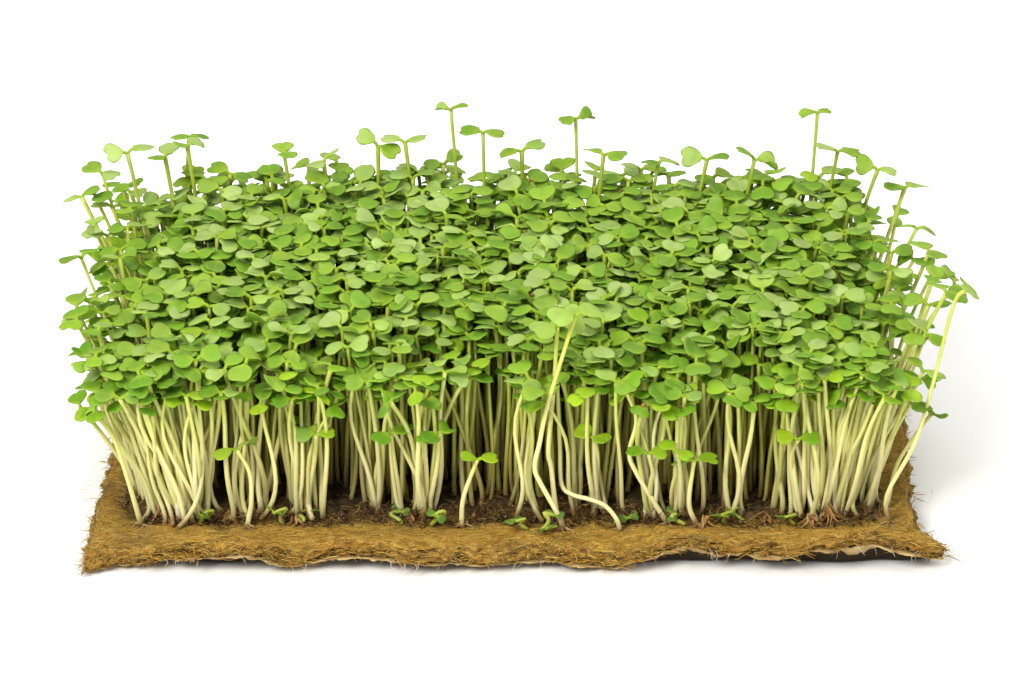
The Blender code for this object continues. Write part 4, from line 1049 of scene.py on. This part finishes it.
# Single seedlings as the CAD has them: name, stem line from its foot, leaf azimuth, size
LONE = (
    ("tall_seedling_front_left_stem", ((13.2, -45.2, 0), (11.5, -45.6, 24), (10.6, -46.0, 31), (12.0, -46.8, 50), (13.0, -47.2, 71)), 205, 0.95),
    ("tall_seedling_front_right_stem", ((16.4, -50.2, 0), (8.4, -50.6, 22), (6.6, -51.0, 28), (8.0, -51.6, 36), (10.6, -52.2, 50), (18.0, -52.6, 77)), 20, 1.0),
    ("curved_seedling_front_right", ((45.5, -45.2, 0), (36.0, -46.2, 24), (34.2, -47.0, 31), (36.0, -47.6, 42), (31.5, -48.0, 54)), 160, 1.0),
    ("short_seedling_front_left", ((-78.0, -46.0, 0), (-76.4, -47.0, 14), (-76.6, -47.6, 24), (-80.0, -48.4, 32)), 200, 0.95),
    ("short_seedling_front_middle", ((-14.8, -47.0, 0), (-14.2, -48.0, 16), (-10.2, -49.0, 29)), 10, 0.8),
    ("short_seedling_front_right", ((53.4, -46.0, 0), (51.8, -47.0, 14), (53.0, -48.0, 28)), 185, 0.9),
    ("bent_seedling_front_left", ((-96.0, -47.0, 0), (-98.0, -47.4, 18), (-103.6, -48.4, 34), (-108.0, -49.4, 50)), 150, 1.0),
    ("leaning_seedling_left_front", ((-108.6, -48.6, 0), (-112.0, -49.6, 23), (-115.4, -50.8, 37), (-120.4, -52.0, 46)), 100, 0.95),
    ("leaning_seedling_left_middle", ((-115.8, -10.0, 0), (-117.6, -10.6, 22), (-122.6, -12.0, 44), (-128.6, -13.0, 60)), 60, 0.95),
    ("leaning_seedling_left_back", ((-115.6, 44.0, 0), (-117.0, 43.0, 26), (-120.6, 42.0, 52), (-127.6, 41.0, 73)), 300, 0.95),
    ("leaning_seedling_right_front", ((110.4, -45.0, 0), (110.0, -45.6, 16), (117.4, -44.4, 32), (121.8, -43.4, 50), (127.0, -42.0, 76), (131.0, -41.0, 80)), 75, 0.95),
    ("leaning_seedling_right_low", ((111.0, -38.0, 0), (113.0, -37.0, 20), (118.6, -35.0, 30), (123.0, -33.6, 36)), 110, 0.85),
    ("leaning_seedling_right_middle", ((110.8, 6.0, 0), (113.6, 5.0, 24), (119.4, 4.0, 48), (126.0, 3.0, 66)), 130, 1.0),
    ("tall_seedling_back_left", ((-101.0, 59.6, 0), (-100.0, 59.0, 30), (-101.4, 58.0, 62), (-99.6, 56.4, 86)), 35, 0.8),
    ("tall_seedling_back_centre", ((-16.0, 59.8, 0), (-17.6, 59.2, 34), (-17.0, 58.4, 66), (-18.8, 57.0, 95)), 170, 0.7),
    ("tall_seedling_back_middle", ((20.0, 59.8, 0), (21.0, 59.0, 34), (20.4, 58.0, 64), (19.6, 56.6, 92)), 15, 0.82),
    ("tall_seedling_back_right", ((90.0, 59.4, 0), (91.6, 58.8, 34), (92.8, 58.2, 64), (94.0, 57.0, 94)), 195, 0.74),
)


def spline(points, pieces):
    pts = np.array(points, float)
    pts = np.concatenate([2 * pts[:1] - pts[1:2], pts, 2 * pts[-1:] - pts[-2:-1]])
    spans = len(pts) - 3
    found = []
    for s in np.linspace(0, spans, pieces):
        i = min(spans - 1, int(s))
        t = s - i
        p0, p1, p2, p3 = pts[i : i + 4]
        found.append(0.5 * (2 * p1 + (p2 - p0) * t + (2 * p0 - 5 * p1 + 4 * p2 - p3) * t**2 + (3 * p1 - 3 * p2 + p3 - p0) * t**3))
    return np.array(found)


def build_lone():
    for k, (name, line, degrees, size) in enumerate(LONE):
        rng = np.random.default_rng(500 + k)
        x, y, _ = line[0]
        z = float(mat_top(np.array(x), np.array(y)))
        points = [(x, y, z + 0.2), *line[1:]]
        path = spline(points, 22)[None]
        # a hooked foot
        side = rng.normal(0, 1.2, 2)
        path[0, :, :2] += side * np.exp(-(path[0, :, 2] - z) / 2.6)[:, None]
        build = Build()
        light = 0.35 if line[-1][2] < 56 else 0.85
        pale = 0.0 if "front" in name else 0.45
        hero = name.startswith("tall_seedling_front")
        settings = None
        if hero:
            settings = [{"tint": srgb(172, 200, 92)[None], "under": srgb(176, 204, 84)[None], "half": np.array([4.6]), "length": np.array([7.0]), "rise1": np.array([r])} for r in (0.12, 0.22)]
        slender = 0.64 if "right_front" in name else 0.74
        grow(build, rng, path, np.array([math.radians(degrees)]), np.array([size]), np.array([pale]), np.array([light]), fine=1, radius=np.array([slender if "front" in name else 0.64]), settings=settings)
        # its own rootlets, spreading in the felt
        n = 9
        head = rng.uniform(0, 2 * PI, n)
        start = np.repeat(path[:, 0], n, 0) + (0, 0, 0.7)
        roots = wander(rng, start, head, rng.uniform(2.0, 5.0, n), 8, 0.35, 0.1)
        u, v = mat_share(roots[..., 0], roots[..., 1])
        roots[..., 2] = mat_lift(u, v) + mat_thickness(u, v) + np.linspace(1.0, 0.05, 8) + rng.uniform(0, 0.2, (n, 1))
        tint = np.repeat(mix(srgb(196, 170, 120), srgb(150, 100, 46), rng.random((n, 1)))[:, None], 8, 1)
        build.tubes(roots, rng.uniform(0.16, 0.3, n)[:, None] * np.linspace(1, 0.3, 8), 5, tint, slot=2)
        build.object("detailed_" + name, [STEM, LEAF, ROOTLET], replaces=(name,))


def build_stand():
    rng = np.random.default_rng(77)
    foot, tip = lay_out(rng)
    tip, azimuth, paths = settle(foot, tip, rng)
    n = len(foot)
    crown = 60.5 + 14.5 * np.clip((foot[:, 1] + 46) / 105, 0, 1) ** 0.9
    light = np.clip((tip[:, 2] - crown + 14) / 12, 0, 1)
    size = rng.uniform(0.84, 1.08, n) * mix(0.84, 1.0, light)
    inward = np.minimum(np.minimum(foot[:, 1] + 44, foot[:, 0] + 112), np.minimum(108 - foot[:, 0], 60 - foot[:, 1]))
    # a random tone plus painted shade: stems farther in from the stand's edge are painted darker and more olive
    tone_and_shade = np.clip(0.45 * rng.beta(1.6, 2.2, n) + 0.75 * (1 - fade(inward, 11)), 0, 1)
    # painted light: the two front corner bundles are painted paler, their painted shade mostly taken away
    bundle = np.maximum(fade(np.hypot(foot[:, 0] + 97, foot[:, 1] + 41.5), 22), fade(np.hypot(foot[:, 0] - 94, foot[:, 1] + 38.5), 20))
    tone_and_shade = tone_and_shade * (1 - 0.8 * bundle)
    radius = rng.uniform(0.60, 0.80, n) * mix(1.0, 1.08, fade(foot[:, 1] + 46, 12))
    r, c = cell_of(foot)
    for row in range(ROWS):
        for col in range(COLS):
            mine = np.flatnonzero((r == row) & (c == col))
            sub = np.random.default_rng(1000 + row * 20 + col)
            build = Build()
            grow(build, sub, paths[mine], azimuth[mine], size[mine], tone_and_shade[mine], light[mine], radius=radius[mine])
            build.object(f"microgreens_patch_r{row + 1}c{col + 1}", [STEM, LEAF], replaces=(f"seedling_tuft_r{row + 1}c{col + 1}",))
    return foot, tip, azimuth, paths


# ------------------------------------------------------------------ at the foot of the stand


def build_root_layer():
    """The knitted roots that cover the felt under the plants."""
    nx, ny = 300, 150
    gx, gy = np.meshgrid(np.linspace(-119, 112, nx + 1), np.linspace(-51, 62.5, ny + 1))
    edge = np.minimum(np.minimum(gx + 116.5, 109.5 - gx), np.minimum(gy + 43.2, 60.5 - gy))
    edge = edge - 0.4 + 3.8 * noise(gx, gy, 9, 3) + 2.2 * noise(gx, gy, 2.6, 4)
    cover = 1 - fade(edge, 5.5)
    lump = 1.3 + 1.5 * (1 - fade(edge - 2, 9)) + 1.1 * fractal(gx, gy, 7, 3, 5) + 0.9 * fractal(gx, gy, 1.9, 2, 9)
    z = mat_top(gx, gy) + cover * np.clip(lump, 0.1, 5) - (1 - cover) * 1.3
    top = np.stack([gx, gy, z], -1)
    low = np.stack([gx, gy, np.minimum(z - 0.5, mat_top(gx, gy) - 1.6)], -1)
    dark, red, olive = srgb(34, 26, 14), srgb(76, 54, 26), srgb(56, 58, 22)
    tint = mix(dark, red, np.clip(0.4 + 0.9 * fractal(gx, gy, 3.2, 3, 8), 0, 1)[..., None])
    tint = mix(tint, olive, 0.7 * np.clip(fractal(gx, gy, 6, 2, 18) * 2 - 0.4, 0, 1)[..., None])
    tint = mix(srgb(118, 88, 38), tint, np.clip((edge - 1.0) / 4.5, 0, 1)[..., None])
    # painted shade in the hollows of the knit
    tint = mix(tint, srgb(24, 17, 10), np.clip(-0.7 * (lump - 1.4), 0, 0.85)[..., None])
    idx = np.arange((nx + 1) * (ny + 1)).reshape(ny + 1, nx + 1)
    n = idx.size
    a, b, c, d = idx[:-1, :-1].ravel(), idx[:-1, 1:].ravel(), idx[1:, 1:].ravel(), idx[1:, :-1].ravel()
    loop = np.concatenate([idx[0, :-1], idx[:-1, -1], idx[-1, ::-1][:-1], idx[::-1, 0][:-1]])
    f_top, f_low = np.stack([a, b, c, d], -1), np.stack([a, d, c, b], -1) + n
    f_wall = np.stack([loop + n, np.roll(loop, -1) + n, np.roll(loop, -1), loop], -1)
    uv = np.stack([(gx - gx.min()) / np.ptp(gx), (gy - gy.min()) / np.ptp(gy)], -1).reshape(-1, 2)
    build = Build()
    # the underside takes half the top's colour: painted shade
    build.add(
        np.concatenate([top.reshape(-1, 3), low.reshape(-1, 3)]), np.concatenate([tint.reshape(-1, 3), 0.5 * tint.reshape(-1, 3)]),
        [f_top, f_low, f_wall], [uv[f_top], uv[f_low - n], uv[f_wall % n]], [np.zeros(len(f_top), int), np.full(len(f_low), 1), np.full(len(f_wall), 2)],
    )
    build.cell = 4
    build.object("root_knit_layer", [ROOT])


def border_spots(rng, n, depth, front=0.55):
    """Spots in the band along the stand's edge, most of them at the front."""
    side = rng.random(n)
    x = np.empty(n)
    y = np.empty(n)
    into = rng.exponential(depth, n)
    f = side < front
    x[f], y[f] = rng.uniform(-108, 108, f.sum()), -47.5 + into[f]
    b = (side >= front) & (side < front + 0.15)
    x[b], y[b] = rng.uniform(-112, 106, b.sum()), 60.5 - into[b]
    le = (side >= front + 0.15) & (side < front + (1 - front) / 2 + 0.07)
    x[le], y[le] = -115 + into[le], rng.uniform(-42, 58, le.sum())
    ri = side >= front + (1 - front) / 2 + 0.07
    x[ri], y[ri] = 109.5 - into[ri], rng.uniform(-42, 58, ri.sum())
    y[f] += 1.5 + 2.6 * noise(x[f], 0 * x[f], 15, 2)
    return x, y


def build_litter():
    rng = np.random.default_rng(91)
    # brown root hairs in tangles
    n = 3500
    x, y = border_spots(rng, n, 6.0)
    z = mat_top(x, y) + rng.uniform(0.2, 4.2, n) * np.clip((y + 47) / 5, 0.25, 1)
    paths = wander(rng, np.stack([x, y, z], -1), rng.uniform(0, 2 * PI, n), rng.uniform(2, 7, n), 7, 0.5, 0.6)
    floor = mat_top(paths[..., 0], paths[..., 1]) + 0.1
    paths[..., 2] = np.clip(paths[..., 2], floor, floor + 5)
    browns = np.array([srgb(76, 56, 26), srgb(112, 84, 42), srgb(48, 36, 18), srgb(150, 118, 62), srgb(92, 62, 28)])
    build = Build()
    build.tubes(paths, rng.uniform(0.06, 0.17, n)[:, None] * np.array([0.7, 1, 1, 1, 0.9, 0.7, 0.35]), 4, fibre_tints(rng, n, 7, browns))
    build.object("root_hair_tangle", [ROOT])

    # split seed hulls: open shells
    n = 330
    x, y = border_spots(rng, n, 8.0, 0.6)
    z = mat_top(x, y) + rng.uniform(0.8, 3.4, n)
    hulls(rng, np.stack([x, y, z], -1), rng.uniform(0.5, 0.85, n), "seed_hulls")

    # orange, waxy bundles of thicker roots where stems share a foot
    build = Build()
    spots = [(-103, -43, 5.5), (-106, -40, 4), (-98, -42, 4), (93, -44, 5.5), (97, -40, 4.5), (88, -46, 3.5), (56.5, -47, 3.5), (-30, -45, 2.5), (101, -30, 4), (-84, -43.5, 2.5), (-108, -30, 3.5), (16, -47.5, 2.5), (-63, -45, 2.5), (98, 20, 3.5), (-106, 25, 4), (-60, 57, 3.5), (40, 58, 3), (75, -45, 2.2)]
    for sx, sy, height in spots:
        m = int(6 + height * 2.4)
        z0 = float(mat_top(np.array(sx), np.array(sy)))
        head = rng.uniform(0, 2 * PI, m)
        k = np.linspace(0, 1, 9)
        reach = rng.uniform(0.8, 1.0, m) * height * 1.25
        px = sx + rng.normal(0, 0.5, (m, 1)) + np.cos(head)[:, None] * reach[:, None] * k**1.5 + 0.35 * np.sin(k * rng.uniform(4, 9, (m, 1)) + head[:, None])
        py = sy + rng.normal(0, 0.5, (m, 1)) + np.sin(head)[:, None] * reach[:, None] * k**1.5 * 0.8 + 0.3 * np.cos(k * rng.uniform(4, 9, (m, 1)))
        pz = np.maximum(z0 + height * rng.uniform(0.5, 1.1, (m, 1)) * (1 - k**0.8), mat_top(px, py) + 0.1)
        tint = np.repeat(mix(srgb(150, 98, 40), srgb(190, 150, 84), rng.random((m, 1)))[:, None], 9, 1)
        build.tubes(np.stack([px, py, pz], -1), rng.uniform(0.2, 0.42, m)[:, None] * np.array([0.7, 1.1, 1.15, 1.0, 0.85, 0.7, 0.55, 0.4, 0.2]), 6, tint)
    build.object("orange_root_bundles", [ROOTLET])

    # seedlings that failed: short curled green bits lying at the foot
    build = Build()
    spots = np.array([(-66, -46.5), (-63, -45), (8, -51.5), (5, -50), (11, -50.5), (50, -46.5), (64, -46), (68, -45), (-22, -47), (-34, -46), (-108, -38), (84, -46.5), (30, -46), (-90, -45), (-112, 0), (106, -12), (0, 59), (60, 59), (-50, 59.5), (107, 34)], float)
    m = len(spots)
    z0 = mat_top(spots[:, 0], spots[:, 1])
    head = rng.uniform(0, 2 * PI, m)
    k = np.linspace(0, 1, 10)
    high = rng.uniform(2.0, 6.5, m)
    px = spots[:, :1] + np.cos(head)[:, None] * 4.5 * k + 1.7 * np.sin(k * 6 + head[:, None])
    py = spots[:, 1:] + np.sin(head)[:, None] * 3.5 * k
    pz = z0[:, None] + 0.5 + high[:, None] * np.sin(k * 2.2)
    paths = np.stack([px, py, pz], -1)
    tint = np.repeat(mix(srgb(150, 166, 36), srgb(186, 196, 80), rng.random((m, 1)))[:, None], 10, 1)
    build.tubes(paths, rng.uniform(0.5, 0.7, m)[:, None] * np.linspace(1, 0.75, 10), 7, tint, slot=0)
    up = unit(np.array([0, 0, 1.0]) + rng.normal(0, 0.35, (m, 3)))
    a = rng.uniform(0, 2 * PI, m)
    for turn in (0, PI):
        o = np.stack([np.cos(a + turn), np.sin(a + turn), 0 * a], -1)
        o = unit(o - (o * up).sum(-1, keepdims=True) * up)
        p = leaf_set(rng, m, np.full(m, 0.4), np.zeros(m))
        p["tint"] = mix(srgb(70, 108, 30), srgb(112, 150, 44), rng.random((m, 1)))
        leaves(build, paths[:, -1], up, o, p, rng)
    # one stem sags over in an arch before it turns up among the others
    arch = spline(((31.6, -50.0, 6.6), (30.6, -49.2, 9.6), (27.2, -47.6, 13.2), (22.5, -46.2, 14.6), (17.8, -44.2, 15.0), (14.6, -42.6, 17.6), (14.0, -42.0, 30.0), (13.4, -42.6, 46.0), (12.6, -43.4, 60.0)), 38)[None]
    grow(build, rng, arch, np.array([0.5]), np.array([0.95]), np.array([0.05]), np.array([0.75]), fine=1, radius=np.array([0.66]))
    build.object("stunted_seedlings", [STEM, LEAF])


def hulls(rng, at, size, name, colours=None):
    """Half shells of seed coats, each one closed body with a wall."""
    n = len(at)
    profile = np.array([(0.42, -0.92), (0.78, -0.66), (0.98, -0.28), (1.0, 0.05), (0.88, 0.08), (0.82, -0.22), (0.62, -0.54), (0.30, -0.76)])
    s = 9
    ang = 2 * PI * np.arange(s) / s
    axis = unit(rng.normal(0, 1, (n, 3)))
    ref = unit(np.cross(axis, rng.normal(0, 1, (n, 3))))
    other = np.cross(axis, ref)
    ring = (
        at[:, None, None]
        + size[:, None, None, None] * (
            profile[None, :, None, :1] * (np.cos(ang)[None, None, :, None] * ref[:, None, None] * 1.15 + np.sin(ang)[None, None, :, None] * other[:, None, None])
            + profile[None, :, None, 1:] * axis[:, None, None]
        )
    )
    colours = colours if colours is not None else np.array([srgb(70, 46, 22), srgb(98, 66, 32), srgb(50, 34, 18), srgb(124, 88, 48)])
    c = colours[rng.integers(0, 4, n)] * rng.uniform(0.7, 1.1, (n, 1))
    tint = np.ones(ring.shape) * c[:, None, None]
    build = Build()
    build.rings(ring, tint, at - axis * size[:, None] * 1.0, at - axis * size[:, None] * 0.83)
    return build.object(name, [HULL])


def build_coats(tip, azimuth):
    """Seed coats that still cling to the leaf stalks."""
    rng = np.random.default_rng(7)
    pick = rng.choice(len(tip), 22, replace=False)
    a = azimuth[pick] + PI * (rng.random(22) < 0.5)
    at = tip[pick] + np.stack([np.cos(a) * 0.9, np.sin(a) * 0.9, 0 * a + 0.9], -1)
    hulls(rng, at, rng.uniform(0.7, 0.9, 22), "seed_coats_on_leaves", np.array([srgb(150, 92, 40), srgb(176, 112, 52), srgb(122, 78, 40), srgb(140, 100, 52)]))


# ------------------------------------------------------------------ stage, light and camera


def build_stage():
    mesh = bpy.data.meshes.new("studio_floor")
    mesh.from_pydata([(-4, -4, -0.0004), (4, -4, -0.0004), (4, 4, -0.0004), (-4, 4, -0.0004)], [], [(0, 1, 2, 3)])
    floor = bpy.data.objects.new("studio_floor", mesh)
    bpy.context.scene.collection.objects.link(floor)
    m = Nodes("white_sweep")
    m.shader.inputs["Base Color"].default_value = (0.93, 0.925, 0.915, 1)
    m.shader.inputs["Roughness"].default_value = 0.55
    m.shader.inputs["Specular IOR Level"].default_value = 0.2
    mesh.materials.append(m.mat)

    def area(name, place, aim, size, power, colour=(1, 1, 1)):
        data = bpy.data.lights.new(name, "AREA")
        data.shape, data.size, data.energy, data.color = "DISK", size, power, colour
        lamp = bpy.data.objects.new(name, data)
        lamp.location = place
        from mathutils import Vector

        lamp.rotation_euler = (Vector(aim) - Vector(place)).to_track_quat("-Z", "Y").to_euler()
        bpy.context.scene.collection.objects.link(lamp)

    area("key_light", (-0.85, -1.15, 1.30), (0, 0, 0.05), 0.8, 40.0, (1, 0.985, 0.93))
    area("side_fill", (1.15, -0.75, 0.95), (0, 0, 0.04), 0.8, 7.0)
    area("top_light", (0.1, 0.15, 1.45), (0, 0, 0.05), 1.1, 12.0, (1, 0.985, 0.95))
    world = bpy.data.worlds.new("white_world")
    world.use_nodes = True
    world.node_tree.nodes["Background"].inputs[0].default_value = (1, 1, 1, 1)
    world.node_tree.nodes["Background"].inputs[1].default_value = 0.42
    scene = bpy.context.scene
    scene.world = world
    scene.view_settings.view_transform = "Standard"
    scene.view_settings.look = "None"
    camera = bpy.data.cameras.new("photo_camera")
    camera.lens, camera.sensor_width, camera.sensor_fit = 141.3, 36.0, "HORIZONTAL"
    camera.clip_start, camera.clip_end = 0.05, 20
    eye = bpy.data.objects.new("photo_camera", camera)
    at = (np.array([0.0, -1084.86, 572.59]) + OFFSET) * MM
    eye.location = at
    eye.rotation_euler = (math.radians(90 - 26), 0, 0)
    scene.collection.objects.link(eye)
    scene.camera = eye


build_stage()
felt = build_felt()
build_fibres(felt)
build_skin(felt)
build_root_layer()
build_litter()
_foot, _tip, _azimuth, _paths = build_stand()
build_coats(_tip, _azimuth)
build_lone()
